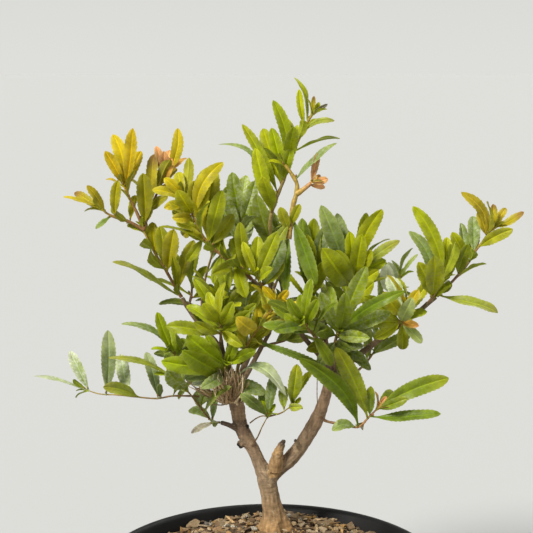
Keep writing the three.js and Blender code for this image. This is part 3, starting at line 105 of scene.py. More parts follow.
# The leafy shoots. Each has its usual leaf length in millimetres, the number of leaves that its rule sets
# in a spiral, the routes of its stems, and the leaves that are placed one by one, as
# [stem, pixel x and y of the root, pixel x and y and depth of the tip, width, bow, roll in degrees].
SHOOTS = {
    "low_left": {
        "leaf_length": 30, "spiral": [0], "look": "mature",
        "stems": [
            [[228, 397, -4], [210, 397, -10], [190, 396, -14], [172, 396, -16], [157, 398.5, -17],
            [137, 397, -18], [118, 395, -18], [100, 394, -16], [87, 390, -14]],
        ],
        "leaves": [
            [0, 87, 390, 34, 376, -18, 0.75, 0.04, 80], [0, 89, 391, 70, 351, -8, 1.1, 0.06, 10],
            [0, 106, 394, 108, 330, -22, 1.15, 0.05, 0], [0, 130, 396, 121, 354, -4, 1.3, 0.05, 0],
            [0, 158, 398, 146, 352, -10, 1.1, 0.08, 20], [0, 139, 397, 103, 387, -32, 1.3, 0.08, 50],
            [0, 160, 398, 158, 381, -16, 1.2, 0.05, 40], [0, 172, 396, 186, 372, 2, 1, 0.1, 20],
        ],
    },
    "low_twig": {
        "leaf_length": 28, "spiral": [2], "look": "mature",
        "stems": [
            [[221, 422.5, -4], [212, 421, -6], [203, 411, -13], [194, 399, -20], [184, 387, -25],
            [174, 377, -28]],
        ],
        "leaves": [
            [0, 175, 378, 108, 358, -30, 0.75, 0.08, 65], [0, 186, 390, 163, 360, -36, 1.5, 0.08, 0],
            [0, 212, 421, 188, 410, -4, 1.2, 0.05, 20], [0, 213, 421, 217, 399, -8, 1, 0.05, 30],
            [0, 215, 421, 191, 433, -2, 1, 0.05, 50], [0, 180, 383, 184, 352, -26, 1.3, 0.1, 10],
        ],
    },
    "left_crown": {
        "leaf_length": 30, "spiral": [1], "look": "mature",
        "stems": [
            [[203, 380, -10], [192, 371, -14], [181, 361, -18], [171, 351, -22]],
        ],
        "leaves": [
            [0, 170, 350, 121, 324, -24, 0.85, 0.12, 60], [0, 172, 352, 157, 312, -30, 1, 0.05, 0],
            [0, 176, 356, 166, 325, -10, 1.2, 0.1, 20], [0, 190, 369, 170, 332, 0, 1.2, 0.1, 0],
            [0, 196, 374, 181, 338, -2, 1.2, 0.05, 20], [0, 198, 376, 212, 352, -28, 1.3, 0.1, 0],
        ],
    },
    "left_leader": {
        "leaf_length": 28, "spiral": [2, 0, 0, 3], "look": "young",
        "stems": [
            [[182, 298, -9], [173, 283, -10], [165, 269, -11], [156, 255, -11], [149, 242, -12],
            [143, 229, -12]],
            [[143.5, 230, -12], [130, 222, -14], [117, 218, -15], [108, 214, -16], [103, 210, -16]],
            [[143.5, 230, -12], [137, 213, -12], [130, 199, -12], [124, 186, -12]],
            [[143.5, 230, -12], [149, 212, -8], [155, 198, -5], [161, 184, -2], [166, 173, 0]],
        ],
        "leaves": [
            [0, 182, 298, 112, 262, -26, 0.75, 0.1, 70], [0, 168, 272, 174, 229, -20, 1.5, 0.05, 0],
            [0, 177, 289, 172, 256, -18, 1, 0.1, 30], [0, 178, 291, 194, 240, 0, 1.1, 0.05, 10],
            [0, 152, 249, 140, 231, -8, 0.9, 0.05, 50], [1, 103, 210, 63, 197, -18, 0.8, 0.05, 60],
            [1, 104, 211, 71, 187, -10, 0.9, 0.04, 20], [1, 106, 212, 84, 185, -22, 0.9, 0.05, 30],
            [1, 112, 216, 92, 221, -20, 0.9, 0.05, 50], [1, 115, 217, 118, 180, -18, 1.1, 0.05, 0],
            [1, 130, 222, 137, 192, -6, 0.9, 0.05, 20], [2, 124, 186, 105, 151, -16, 1.1, 0.05, 10],
            [2, 124, 186, 112, 134, -12, 1.3, 0.04, 0], [2, 125, 188, 133, 128, -14, 1.1, 0.04, 10],
            [2, 126, 190, 141, 150, -8, 1.1, 0.05, 0], [3, 144, 226, 143, 173, -16, 1.4, 0.05, 0],
            [3, 152, 206, 154, 154, -8, 1.2, 0.05, 20], [3, 163, 178, 156, 146, -4, 1, 0.05, 20],
            [3, 166, 174, 178, 128, -4, 1.1, 0.06, 10], [3, 166, 173, 170, 150, 6, 1.2, 0.05, 0],
            [3, 160, 186, 190, 186, -10, 1.2, 0.1, 20],
        ],
    },
    "leader_low": {
        "leaf_length": 32, "spiral": [5], "look": "fresh",
        "stems": [
            [[206, 331, -9], [211, 322, -14], [215, 312, -18], [218, 300, -22]],
        ],
        "leaves": [
            [0, 209, 326, 193, 305, -28, 1.4, 0.1, 0], [0, 215, 312, 206, 276, -24, 1.1, 0.1, 20],
            [0, 218, 300, 222, 258, -26, 1.2, 0.08, 0], [0, 212, 320, 232, 292, -30, 1.1, 0.1, 10],
        ],
    },
    "leader_mid": {
        "leaf_length": 30, "spiral": [4], "look": "fresh",
        "stems": [
            [[188, 308, -9], [191, 297, -4], [192, 286, 2], [191, 275, 8]],
        ],
        "leaves": [
            [0, 191, 280, 197, 243, 10, 1.1, 0.05, 0], [0, 192, 290, 207, 266, 4, 1.1, 0.1, 20],
            [0, 190, 300, 214, 287, 10, 1.1, 0.1, 20],
        ],
    },
    "crown_front": {
        "leaf_length": 32, "spiral": [2], "look": "mature",
        "stems": [
            [[231, 386, -3], [227, 378, -12], [225, 370, -19], [225, 363, -25]],
        ],
        "leaves": [
            [0, 226, 364, 187, 335, -38, 1.75, 0.08, 0], [0, 226, 367, 161, 361, -40, 1.4, 0.08, 0],
            [0, 227, 370, 178, 366, -32, 1.2, 0.1, 20], [0, 225, 363, 210, 333, -22, 1.3, 0.08, 0],
            [0, 228, 374, 190, 380, -28, 1.3, 0.12, 30], [0, 227, 372, 192, 392, -34, 1.2, 0.15, 10],
            [0, 226, 366, 249, 347, -34, 1.2, 0.08, 20], [0, 228, 376, 203, 366, -34, 1.4, 0.08, 10],
        ],
    },
    "centre_yellow": {
        "leaf_length": 30, "spiral": [2], "look": "young",
        "stems": [
            [[236, 382, -4], [238, 367, -17], [243, 352, -24], [253, 336, -30], [264, 319, -34],
            [277, 303, -38]],
        ],
        "leaves": [
            [0, 277, 303, 263, 286, -40, 1.1, 0.05, 0], [0, 277, 303, 288, 290, -42, 1.3, 0.05, 0],
            [0, 274, 306, 262, 305, -48, 1.2, 0.1, 0], [0, 256, 331, 236, 317, -50, 1.7, 0.15, 0],
            [0, 268, 314, 319, 309, -44, 1, 0.14, 55], [0, 258, 328, 306, 323, -32, 1.1, 0.1, 30],
            [0, 250, 339, 322, 366, -30, 1.1, 0.08, 20], [0, 245, 346, 232, 306, -30, 1.2, 0.06, 0],
            [0, 238, 374, 286, 396, -36, 1.3, 0.36, 60],
            [0, 248, 342, 264, 296, -24, 1.2, 0.06, 0],
        ],
    },
    "diagonal": {
        "leaf_length": 30, "spiral": [6], "look": "fresh",
        "stems": [
            [[252, 280, -21], [244, 271, -23], [234, 263, -24], [222, 255, -25], [211, 247, -25],
            [202, 235, -25], [195, 220, -25], [189, 207, -24], [184, 196, -23]],
        ],
        "leaves": [
            [0, 250, 276, 240, 222, -32, 1.1, 0.04, 0], [0, 208, 243, 222, 190, -30, 1.3, 0.04, 0],
            [0, 209, 245, 159, 227, -34, 0.9, 0.1, 75], [0, 198, 226, 204, 182, -22, 1.2, 0.04, 0],
            [0, 196, 218, 225, 162, -22, 1.2, 0.2, 10], [0, 190, 208, 195, 178, -30, 1.3, 0.06, 0],
            [0, 185, 198, 164, 178, -26, 1.2, 0.1, 10], [0, 185, 198, 178, 172, -14, 1.3, 0.1, 0],
            [0, 187, 204, 164, 208, -30, 1.3, 0.15, 20], [0, 193, 215, 172, 218, -34, 1.4, 0.15, 0],
            [0, 222, 255, 214, 285, -30, 0.9, 0.1, 10], [0, 204, 238, 186, 262, -26, 1.2, 0.1, 0],
        ],
    },
    "diagonal_low": {
        "leaf_length": 28, "spiral": [2], "look": "fresh",
        "stems": [
            [[268, 293, -21], [261, 284, -26], [256, 276, -30]],
        ],
        "leaves": [
            [0, 262, 286, 268, 312, -34, 1.1, 0.1, 0], [0, 257, 278, 277, 232, -38, 1.3, 0.05, 0],
            [0, 257, 278, 244, 262, -40, 1.2, 0.1, 20], [0, 262, 286, 238, 290, -36, 1, 0.1, 30],
            [0, 266, 290, 254, 268, -28, 1, 0.05, 0],
        ],
    },
    "riser": {
        "leaf_length": 32, "spiral": [0], "look": "young",
        "stems": [
            [[288, 240, -16], [290, 228, -15], [292, 217, -14], [293, 206, -13], [296, 195, -12],
            [297, 184, -11], [291, 173, -10], [285, 165, -9]],
            [[296.2, 194, -12], [304, 189, -12], [311, 183, -13]],
        ],
        "leaves": [
            [0, 291, 218, 256, 276, -26, 1.25, 0.06, 0], [0, 292, 217, 316, 285, -22, 1.2, 0.06, 0],
            [0, 295, 178, 337, 143, -18, 0.8, 0.12, 60], [0, 285, 165, 268, 161, -14, 0.7, 0.08, 60],
            [0, 286, 167, 278, 147, -4, 1, 0.05, 0], [1, 311, 183, 318, 153, -15, 1.1, 0.05, 0],
            [1, 311, 183, 328, 179, -14, 1.2, 0.05, 0], [1, 309, 185, 325, 187, -6, 0.9, 0.05, 20],
        ],
    },
    "riser_top": {
        "leaf_length": 34, "spiral": [4], "look": "fresh",
        "stems": [
            [[272, 240, 6], [270, 226, 4], [272, 212, 3], [277, 197, 2], [283, 182, 1], [288, 168, 0],
            [293, 153, -2], [299, 139, -3], [306, 125, -4], [312, 115, -5]],
        ],
        "leaves": [
            [0, 271, 214, 255, 148, -8, 1.25, 0.04, 0], [0, 271, 216, 226, 138, 8, 0.9, 0.14, 50],
            [0, 278, 194, 242, 124, 8, 1, 0.06, 10], [0, 281, 186, 262, 126, 10, 1.2, 0.05, 0],
            [0, 284, 180, 270, 132, 14, 1.1, 0.05, 10], [0, 288, 168, 273, 100, -8, 1.25, 0.04, 0],
            [0, 290, 163, 306, 122, -8, 1.3, 0.04, 0], [0, 305, 127, 299, 89, -8, 1, 0.03, 0],
            [0, 312, 115, 314, 96, -6, 1, 0.03, 20], [0, 312, 115, 326, 102, -8, 1.1, 0.05, 0],
            [0, 302, 133, 334, 117, -10, 1, 0.1, 40], [0, 297, 143, 284, 118, 4, 1.1, 0.06, 20],
            [0, 300, 137, 292, 121, 8, 1.1, 0.06, 0], [0, 287, 172, 277, 141, 10, 1.1, 0.05, 0],
        ],
    },
    "centre_back_a": {
        "leaf_length": 34, "spiral": [9], "look": "mature",
        "stems": [
            [[258, 334, 20], [247, 316, 26], [240, 294, 30], [237, 270, 32], [238, 246, 30], [241, 222, 28]],
        ],
        "leaves": [
            [0, 241, 222, 232, 172, 22, 1.4, 0.05, 0], [0, 241, 224, 243, 174, 28, 1.3, 0.05, 10],
            [0, 240, 232, 222, 192, 20, 1.1, 0.05, 0], [0, 241, 226, 256, 178, 24, 1.3, 0.05, 0],
        ],
    },
    "centre_back_b": {
        "leaf_length": 32, "spiral": [7], "look": "mature",
        "stems": [
            [[268, 300, 20], [275, 286, 24], [280, 270, 28], [281, 254, 30]],
        ],
        "leaves": [
            [0, 281, 256, 262, 212, 16, 1.3, 0.05, 0], [0, 281, 256, 287, 226, 26, 1.2, 0.05, 0],
            [0, 279, 272, 268, 236, 8, 1.3, 0.05, 0],
        ],
    },
    "left_back": {
        "leaf_length": 32, "spiral": [9], "look": "mature",
        "stems": [
            [[203, 318, 40], [202, 298, 44], [206, 276, 46], [212, 254, 46], [217, 232, 44]],
        ],
        "leaves": [
            [0, 217, 232, 208, 196, 34, 1.2, 0.05, 0], [0, 217, 232, 228, 188, 38, 1.2, 0.05, 0],
        ],
    },
    "right_rosette": {
        "leaf_length": 34, "spiral": [2], "look": "mature",
        "stems": [
            [[333, 350, -7], [336, 340, -14], [338, 331, -20]],
        ],
        "leaves": [
            [0, 338, 331, 366, 266, -30, 1.3, 0.06, 0], [0, 338, 331, 405, 291, -38, 1, 0.14, 30],
            [0, 337, 334, 391, 312, -30, 1.2, 0.1, 10], [0, 337, 334, 320, 292, -32, 1.1, 0.06, 0],
            [0, 337, 336, 306, 322, -34, 1.3, 0.12, 0], [0, 337, 334, 346, 284, -40, 1.2, 0.06, 0],
            [0, 338, 331, 330, 286, -14, 1.2, 0.05, 0], [0, 337, 336, 370, 338, -34, 1.2, 0.12, 20],
            [0, 335, 341, 352, 350, -36, 1.1, 0.1, 10],
        ],
    },
    "right_crown": {
        "leaf_length": 34, "spiral": [5], "look": "fresh",
        "stems": [
            [[332, 353, -5], [339, 328, 0], [346, 304, 2], [352, 284, 2], [357, 268, 0]],
        ],
        "leaves": [
            [0, 357, 268, 382, 209, -10, 1.35, 0.07, 0], [0, 356, 272, 396, 240, -12, 1, 0.08, 30],
            [0, 356, 272, 349, 228, -6, 1.2, 0.06, 0], [0, 350, 290, 321, 205, -8, 1.2, 0.07, 0],
            [0, 351, 288, 337, 213, 2, 1.2, 0.05, 0], [0, 352, 285, 322, 248, -26, 1.8, 0.16, 0],
            [0, 354, 278, 372, 250, -14, 1.2, 0.06, 0],
        ],
    },
    "right_inner": {
        "leaf_length": 32, "spiral": [5], "look": "fresh",
        "stems": [
            [[331, 360, -4], [324, 338, -2], [317, 318, -2], [312, 300, -4], [311, 286, -6]],
        ],
        "leaves": [
            [0, 311, 286, 307, 234, -8, 1.2, 0.05, 0], [0, 312, 290, 326, 226, -4, 1.2, 0.05, 0],
            [0, 312, 296, 322, 262, -18, 1.4, 0.05, 0], [0, 314, 306, 296, 256, -2, 0.9, 0.06, 20],
            [0, 318, 322, 300, 305, -20, 1.2, 0.15, 0], [0, 315, 312, 330, 284, -22, 1.4, 0.08, 0],
            [0, 314, 308, 292, 303, 6, 1.2, 0.1, 20],
        ],
    },
    "front_right": {
        "leaf_length": 31, "spiral": [4], "look": "mature",
        "stems": [
            [[316, 338, -44], [309, 330, -50], [303, 323, -54]],
        ],
        "leaves": [
            [0, 304, 325, 288, 298, -60, 1.1, 0.1, 0], [0, 304, 325, 318, 299, -62, 1.2, 0.1, 0],
            [0, 312, 334, 262, 325, -52, 1, 0.1, 30], [0, 305, 326, 274, 331, -62, 1.2, 0.1, 30],
            [0, 307, 328, 300, 294, -48, 1.2, 0.06, 0],
        ],
    },
    "front_left": {
        "leaf_length": 30, "spiral": [4], "look": "fresh",
        "stems": [
            [[221, 340, -28], [220.5, 331, -34], [220, 322, -37]],
        ],
        "leaves": [
            [0, 220, 324, 203, 303, -46, 1.5, 0.1, 0], [0, 220, 325, 215, 291, -38, 1.1, 0.08, 0],
            [0, 220, 326, 235, 297, -48, 1.2, 0.08, 0], [0, 221, 332, 248, 314, -46, 1.3, 0.1, 0],
            [0, 221, 334, 194, 322, -40, 1.3, 0.1, 0], [0, 221, 330, 226, 300, -28, 1.2, 0.05, 0],
        ],
    },
    "far_back": {
        "leaf_length": 33, "spiral": [10], "look": "mature",
        "stems": [
            [[270, 332, 54], [276, 315, 60], [281, 297, 62], [282, 277, 62], [281, 256, 58]],
        ],
        "leaves": [],
    },
    "far_back_left": {
        "leaf_length": 32, "spiral": [9], "look": "mature",
        "stems": [
            [[256, 358, 38], [244, 344, 48], [233, 328, 55], [225, 308, 60], [220, 286, 61]],
        ],
        "leaves": [],
    },
    "far_back_right": {
        "leaf_length": 32, "spiral": [9], "look": "mature",
        "stems": [
            [[262, 346, 46], [283, 341, 54], [303, 331, 60], [319, 315, 63], [330, 295, 63]],
        ],
        "leaves": [],
    },
    "right_back": {
        "leaf_length": 33, "spiral": [8], "look": "fresh",
        "stems": [
            [[350, 312, 38], [353, 292, 42], [356, 272, 44], [357, 250, 42]],
        ],
        "leaves": [
            [0, 357, 250, 366, 214, 34, 1.2, 0.05, 0],
        ],
    },
    "right_back_out": {
        "leaf_length": 32, "spiral": [8], "look": "mature",
        "stems": [
            [[345, 338, 30], [360, 326, 40], [376, 312, 46], [390, 296, 50], [400, 278, 50]],
        ],
        "leaves": [
            [0, 400, 278, 418, 254, 44, 1, 0.08, 30], [0, 398, 282, 388, 262, 40, 1.2, 0.05, 0],
        ],
    },
    "right_branch_low": {
        "leaf_length": 30, "spiral": [2], "look": "fresh",
        "stems": [
            [[396, 328, -13], [402, 320, -18], [407, 312, -22]],
        ],
        "leaves": [
            [0, 399, 324, 426, 291, -30, 1.4, 0.12, 0], [0, 404, 318, 383, 292, -26, 1.5, 0.06, 0],
            [0, 398, 326, 370, 322, -30, 1.2, 0.12, 10], [0, 398, 326, 422, 343, -20, 1.2, 0.1, 10],
            [0, 398, 326, 402, 346, -6, 1.3, 0.05, 0], [0, 405, 315, 388, 276, -10, 1.5, 0.05, 0],
        ],
    },
    "right_branch_mid": {
        "leaf_length": 33, "spiral": [2], "look": "fresh",
        "stems": [
            [[424, 307, -14], [432, 298, -18], [438, 289, -20], [443, 280, -21]],
        ],
        "leaves": [
            [0, 431, 299, 409, 231, -20, 1, 0.1, 10], [0, 443, 280, 413, 206, -22, 1.3, 0.05, 0],
            [0, 433, 297, 434, 256, -34, 1.7, 0.05, 0], [0, 443, 280, 447, 237, -12, 1.1, 0.05, 0],
            [0, 436, 292, 450, 272, -30, 1.3, 0.1, 0], [0, 436, 292, 422, 272, -4, 1.1, 0.06, 0],
        ],
    },
    "right_tip": {
        "leaf_length": 30, "spiral": [2], "look": "fresh",
        "stems": [
            [[436, 297, -14], [448, 286, -15], [460, 273, -16], [469, 262, -16], [477, 249, -17],
            [486, 237, -17], [494, 227, -18]],
        ],
        "leaves": [
            [0, 488, 234, 461, 192, -22, 1, 0.05, 10], [0, 494, 227, 493, 204, -18, 1.1, 0.05, 10],
            [0, 494, 227, 524, 212, -20, 1, 0.08, 40], [0, 478, 248, 513, 229, -30, 1.2, 0.08, 20],
            [0, 466, 265, 464, 222, -12, 1.1, 0.05, 20], [0, 474, 254, 473, 216, -6, 1.3, 0.06, 0],
            [0, 460, 273, 450, 244, -18, 1, 0.05, 10], [0, 438, 296, 498, 313, -20, 0.95, 0.17, 45],
            [0, 470, 260, 484, 226, -10, 1.1, 0.05, 20], [0, 458, 276, 468, 244, -28, 1.2, 0.05, 0],
            [0, 494, 227, 506, 208, -8, 0.9, 0.05, 10],
        ],
    },
    "low_right": {
        "leaf_length": 34, "spiral": [0], "look": "mature",
        "stems": [
            [[319, 415, 0], [326, 421, -12], [341, 424, -18], [358, 427, -22], [368, 418, -24],
            [377, 409, -26]],
        ],
        "leaves": [
            [0, 356, 427, 331, 424, -24, 1.5, 0.1, 40], [0, 358, 426, 299, 358, -40, 1.15, 0.06, 0],
            [0, 367, 417, 336, 347, -36, 1.25, 0.05, 0], [0, 376, 409, 449, 378, -24, 1.25, 0.06, 20],
            [0, 370, 416, 441, 414, -32, 1, 0.08, 50], [0, 376, 409, 394, 392, -12, 1.7, 0.1, 20],
            [0, 364, 421, 354, 434, -6, 1, 0.1, 20],
        ],
    },
    "low_centre": {
        "leaf_length": 28, "spiral": [0], "look": "mature",
        "stems": [
            [[250, 446, -2], [257, 438, -8], [262, 427, -14], [268, 416, -18]],
            [[268, 416.5, -18], [281, 413, -22], [291, 406, -26]],
        ],
        "leaves": [
            [0, 267, 417, 241, 393, -30, 1.2, 0.14, 0], [0, 268, 416, 276, 372, -16, 1.4, 0.1, 10],
            [0, 267, 417, 262, 388, -12, 1.2, 0.08, 0], [1, 291, 406, 297, 364, -30, 1.3, 0.08, 0],
            [1, 291, 406, 312, 374, -32, 0.8, 0.08, 40], [1, 289, 408, 307, 397, -34, 1, 0.1, 20],
            [1, 284, 411, 284, 386, -12, 1.2, 0.05, 0],
        ],
    },
    "back_low": {
        "leaf_length": 29, "spiral": [7], "look": "mature",
        "stems": [
            [[228, 381, 12], [214, 380, 26], [200, 376, 38], [188, 368, 48], [178, 356, 56]],
        ],
        "leaves": [],
    },
    "back_right_low": {
        "leaf_length": 30, "spiral": [7], "look": "mature",
        "stems": [
            [[333, 376, 8], [350, 375, 24], [363, 366, 40], [374, 352, 52], [382, 337, 60]],
        ],
        "leaves": [],
    },
}

# The spiral rule: each leaf turns on from the last by the golden angle, wide open low on the shoot and
# closing towards its tip, and lifts to the light. Angles are in degrees, and a spread is a random range.
SPIRAL = {
    "turn": 137.5, "turn_spread": 24, "open_low": 62, "open_high": 24, "open_spread": 14, "lift": 0.42,
    "first_share": 0.7, "tip_length": 0.78, "length_spread": 0.26, "width": 1.05, "width_spread": 0.3,
    "bow": 0.05, "bow_spread": 0.09, "roll_spread": 46,
}

# Turns in degrees that a leaf may have taken, in its own plane and out of it, to be clear of the others,
# and the shares of its length that it may have kept. Leaves of the spiral may have turned further.
SWINGS = [
    (0, 0), (0, 9), (0, -9), (7, 0), (-7, 0), (0, 18), (0, -18), (8, 12), (-8, 12), (8, -12), (-8, -12),
    (15, 0), (-15, 0), (14, 20), (-14, 20), (14, -20), (-14, -20),
]
SHRINKS = (1, 0.88, 0.76)
SPIRAL_SWING = 1.7
# How near a leaf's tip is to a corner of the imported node, in millimetres, if the leaf is packed so
TIP_MATCH = 0.02

# Gaps in the crown that show the background in the photograph, as pixel x and y and radius: leaves that
# are set by a rule keep out of them
GAPS = [
    (163, 214, 9), (182, 245, 6), (204, 257, 6), (209, 269, 6), (213, 282, 6), (191, 291, 8), (167, 268, 5),
    (286, 197, 8), (293, 228, 6), (294, 244, 7), (293, 261, 7), (295, 277, 9), (294, 290, 9), (352, 217, 8),
    (396, 250, 8), (410, 274, 8), (285, 346, 5), (257, 360, 7), (288, 370, 9), (262, 383, 7), (310, 388, 10),
    (375, 376, 20), (398, 362, 14), (352, 388, 10), (440, 330, 16), (460, 300, 8),
]

# Half width of a leaf along it, and the places across it that its mesh has a row of corners at
LEAF_OUTLINE = np.array([
    (0, 0.13), (0.07, 0.13), (0.13, 0.24), (0.22, 0.52), (0.36, 0.83), (0.52, 0.97), (0.68, 1), (0.82, 0.9),
    (0.91, 0.66), (0.965, 0.38), (1, 0.06),
])
LEAF_COLUMNS = np.array([-1, -0.84, -0.5, -0.2, -0.07, 0, 0.07, 0.2, 0.5, 0.84, 1])
# A leaf up to this length in millimetres has fewer columns
SMALL_LEAF = 20
SMALL_LEAF_COLUMNS = np.array([-1, -0.62, -0.12, 0, 0.12, 0.62, 1])
# Rows of corners below the teeth and past them, as shares of the length
LEAF_BASE_ROWS = (0.03, 0.07, 0.11, 0.16, 0.22, 0.28)
LEAF_TIP_ROW = 0.985
# The teeth: where they start and end along the leaf, their pitch and depth in millimetres, the rows of
# corners of each with how far they stand out, and the leaf length that has their full depth
TEETH = {
    "start": 0.27, "end": 0.965, "pitch": 2.6, "depth": 0.24, "rows": ((0, -1), (0.5, 0.1), (0.88, 1)),
    "full_length": 30,
}
# The blade: thicknesses, groove and rib in millimetres, fold in degrees, twist in radians, the number of its
# waves, the power that keeps what happens at its edge near the edge, and the power that skews its arch. The
# rest are shares or factors of its length or half width. A pair is the range that a leaf draws from, or the
# two ends of a change.
BLADE = {
    "edge": 0.3, "stalk": 0.9, "stalk_end": (0.03, 0.16), "square": 6, "groove": 0.22, "rib": 0.45,
    "rib_taper": 0.7, "rib_width": 0.11, "fold": (14, 34), "tip_fold": 0.7, "cup": (1.15, 0.85),
    "waves": (1.6, 2.6), "wave": 0.11, "twist": 0.7, "twist_from": 0.15, "skew": (1.0, 1.6), "bend": 0.07,
}
# How a leaf's colour varies: lighter at its stalk, paler at its edge and underneath, and where its tip
# starts. Its painted sheen, pale streaks that stand in for the sky's reflection on its gloss, is drawn from
# a range and is weaker underneath. It has as many veins as teeth in the share "veined" of its length.
LEAF_TINT = {
    "lightness": (0.85, 1.18), "stalk": 0.25, "stalk_end": 0.25, "tip": (0.6, 0.97), "edge": 0.18,
    "under": 0.5, "under_painted_sheen": 0.5, "painted_sheen": (0.3, 1), "veined": 0.65,
}
# About a full turn, in radians, for draws and waves
TURN = 6.3
# The seed of each kind of draw, and how much it grows from one shoot to the next
SEEDS = {
    "spiral": (1000, 77), "axil": (3001, 97), "shoot": (5003, 131), "stalks": (7919, 0), "chips": (20011, 0),
}


def shade(code):
    """The linear colour of a web colour."""
    parts = [int(code[i:i + 2], 16) / 255 for i in (1, 3, 5)]
    return np.array([part / 12.92 if part <= 0.04045 else ((part + 0.055) / 1.055) ** 2.4 for part in parts])


# Leaf colours from deep shade to the flush of new growth
DEEP, GREEN, OLIVE, LIME = shade("#566604"), shade("#7c8906"), shade("#8f9208"), shade("#9c920c")
GOLD, AMBER, CORAL = shade("#b09612"), shade("#b3782a"), shade("#cf9560")
PALE_EDGE, PALE_UNDER = shade("#b4b55a"), shade("#8a9538")
LOOKS = {
    "mature": {"slot": "leaf_mature", "low": DEEP, "high": GREEN},
    "fresh": {"slot": "leaf_fresh", "low": GREEN, "high": OLIVE},
    "young": {"slot": "leaf_young", "low": OLIVE, "high": LIME},
}
# New growth that flushes yellow, orange or red at the end of a stem, by shoot and stem
FLUSH = {
    ("left_leader", 0): OLIVE, ("left_leader", 1): LIME, ("left_leader", 2): GOLD, ("left_leader", 3): AMBER,
    ("diagonal", 0): shade("#a5940f"), ("centre_yellow", 0): GOLD, ("riser", 0): OLIVE, ("riser", 1): CORAL,
    ("riser_top", 0): OLIVE, ("right_tip", 0): shade("#9a8420"), ("low_centre", 1): OLIVE,
    ("low_right", 0): CORAL, ("right_branch_low", 0): shade("#a5900f"),
}
# Where along a stem the flush begins, if not at the usual share of its way
FLUSH_FROM = {("left_leader", 3): -0.1, ("left_leader", 2): 0.1, ("diagonal", 0): 0.2}
USUAL_FLUSH_FROM = 0.45
# How far a leaf's darkest colour comes towards its lightest one, on old growth and on new
EVENED = (0.2, 0.6)
# How light a leaf is from the foot of its stem to near its end, and where along the stem that ends. Low
# leaves are darker partly as older growth and partly as painted shade deeper in the crown.
AGE_AND_SHADE = {"light": (0.66, 1.06), "end": 0.9}
# How light the leaves of a shoot are beside the usual: outer ones lighter as painted light, inner and rear
# ones darker as painted shade
LIGHTNESS = {
    "far_back": 0.58, "far_back_left": 0.58, "far_back_right": 0.6, "centre_back_b": 0.72, "left_back": 0.72,
    "back_low": 0.6, "back_right_low": 0.6, "right_back": 0.7, "right_inner": 0.9, "front_right": 0.86,
    "right_rosette": 0.95, "riser_top": 1.12, "riser": 1.1, "crown_front": 1.1, "right_crown": 1.08,
    "right_branch_mid": 1.05, "leader_mid": 1.05, "diagonal_low": 1.04, "right_tip": 0.95,
    "left_leader": 0.98,
}
# How strongly the leaves of a shoot carry the painted sheen, from 0 to 1: pale streaks that stand in for the
# sky's reflection on their gloss
SHOOT_PAINTED_SHEEN = {
    "right_back_out": 0.45, "back_right_low": 0.3, "low_left": 1.0, "low_twig": 0.55, "centre_back_a": 0.75,
    "centre_back_b": 0.4, "left_back": 0.4, "right_rosette": 0.35, "low_centre": 0.5, "back_low": 0.4,
}
USUAL_PAINTED_SHEEN = 0.06

# Leaves that look unlike the rest of their shoot: the colour of the leaf and of its tip, and its painted
# sheen.
# The pale colours of the "silvery" and "bright" looks are partly painted reflection of the sky as well.
ODD_LOOKS = {
    "sunlit": ("#9ea612", "#a6aa16", 0.05), "leafy": ("#6a790f", "#7d8418", 0.1),
    "grey": ("#6d7a45", "#879060", 0.6), "bright": ("#b2ba90", "#c2c8a6", 1),
    "silvery": ("#8b9862", "#a2a886", 0.95), "pale": ("#8f9c4a", "#a0aa62", 0.35),
    "dull": ("#64742c", "#75823c", 0.35), "deep": ("#54660a", "#64740e", 0.1),
    "fresh": ("#858e0c", "#92940f", 0.1), "olive": ("#7b821c", "#87862a", 0.15),
    "golden": ("#a6961a", "#b09c1c", 0.05), "coral": ("#cf9866", "#cc9460", 0.1),
    "amber": ("#b58a34", "#bf8546", 0.05), "scorched": ("#a0931c", "#806030", 0.05),
    "withered": ("#6e6353", "#5c5248", 0.4),
}
# Which leaves these are, by shoot and number. The numbers of a shoot count its traced leaves, and then on
# through those that only the finished tree has.
ODD_LEAVES = {
    "silvery": {
        "low_left": (0, 1, 3), "centre_yellow": (8,), "crown_front": (4,), "right_branch_low": (5,),
    },
    "grey": {"low_left": (2, 4)},
    "bright": {"right_back_out": (1, 2)},
    "pale": {"right_branch_low": (0, 3), "right_back_out": (0,)},
    "dull": {
        "low_left": (6, 7), "low_twig": (2, 3), "left_crown": (0,), "riser": (2,), "riser_top": (1,),
        "right_crown": (3, 4), "right_inner": (1,), "low_centre": (0, 1, 2), "low_right": (0,),
        "crown_front": (2, 5, 8, 11), "left_leader": (8,), "diagonal_low": (9,), "right_tip": (4, 5),
        "right_branch_mid": (0,),
    },
    # These leaves take the dark "deep" look partly as painted shade
    "deep": {
        "riser": (1, 10), "centre_yellow": (6,), "low_right": (1, 4), "right_inner": (10,),
        "front_right": (2, 3), "right_rosette": (1,),
    },
    "leafy": {"low_right": (3, 5, 7, 8)},
    "fresh": {"low_right": (2,), "low_centre": (3, 4), "riser_top": (2,)},
    "sunlit": {"riser_top": (0, 14)},
    "olive": {
        "riser": (0,), "low_left": (5,), "low_twig": (0,), "left_leader": (0,), "right_tip": (7,),
        "right_crown": (1,), "riser_top": (10,),
    },
    "golden": {"left_leader": (5, 7, 18), "centre_yellow": (3,)},
    "coral": {"left_leader": (17, 19, 27), "riser": (5, 6, 7)},
    "amber": {"left_leader": (20, 22), "right_branch_low": (9,)},
    "scorched": {"left_leader": (6, 16), "riser_top": (8,), "right_tip": (1, 2)},
    "withered": {"low_twig": (4,), "riser_top": (9,)},
}
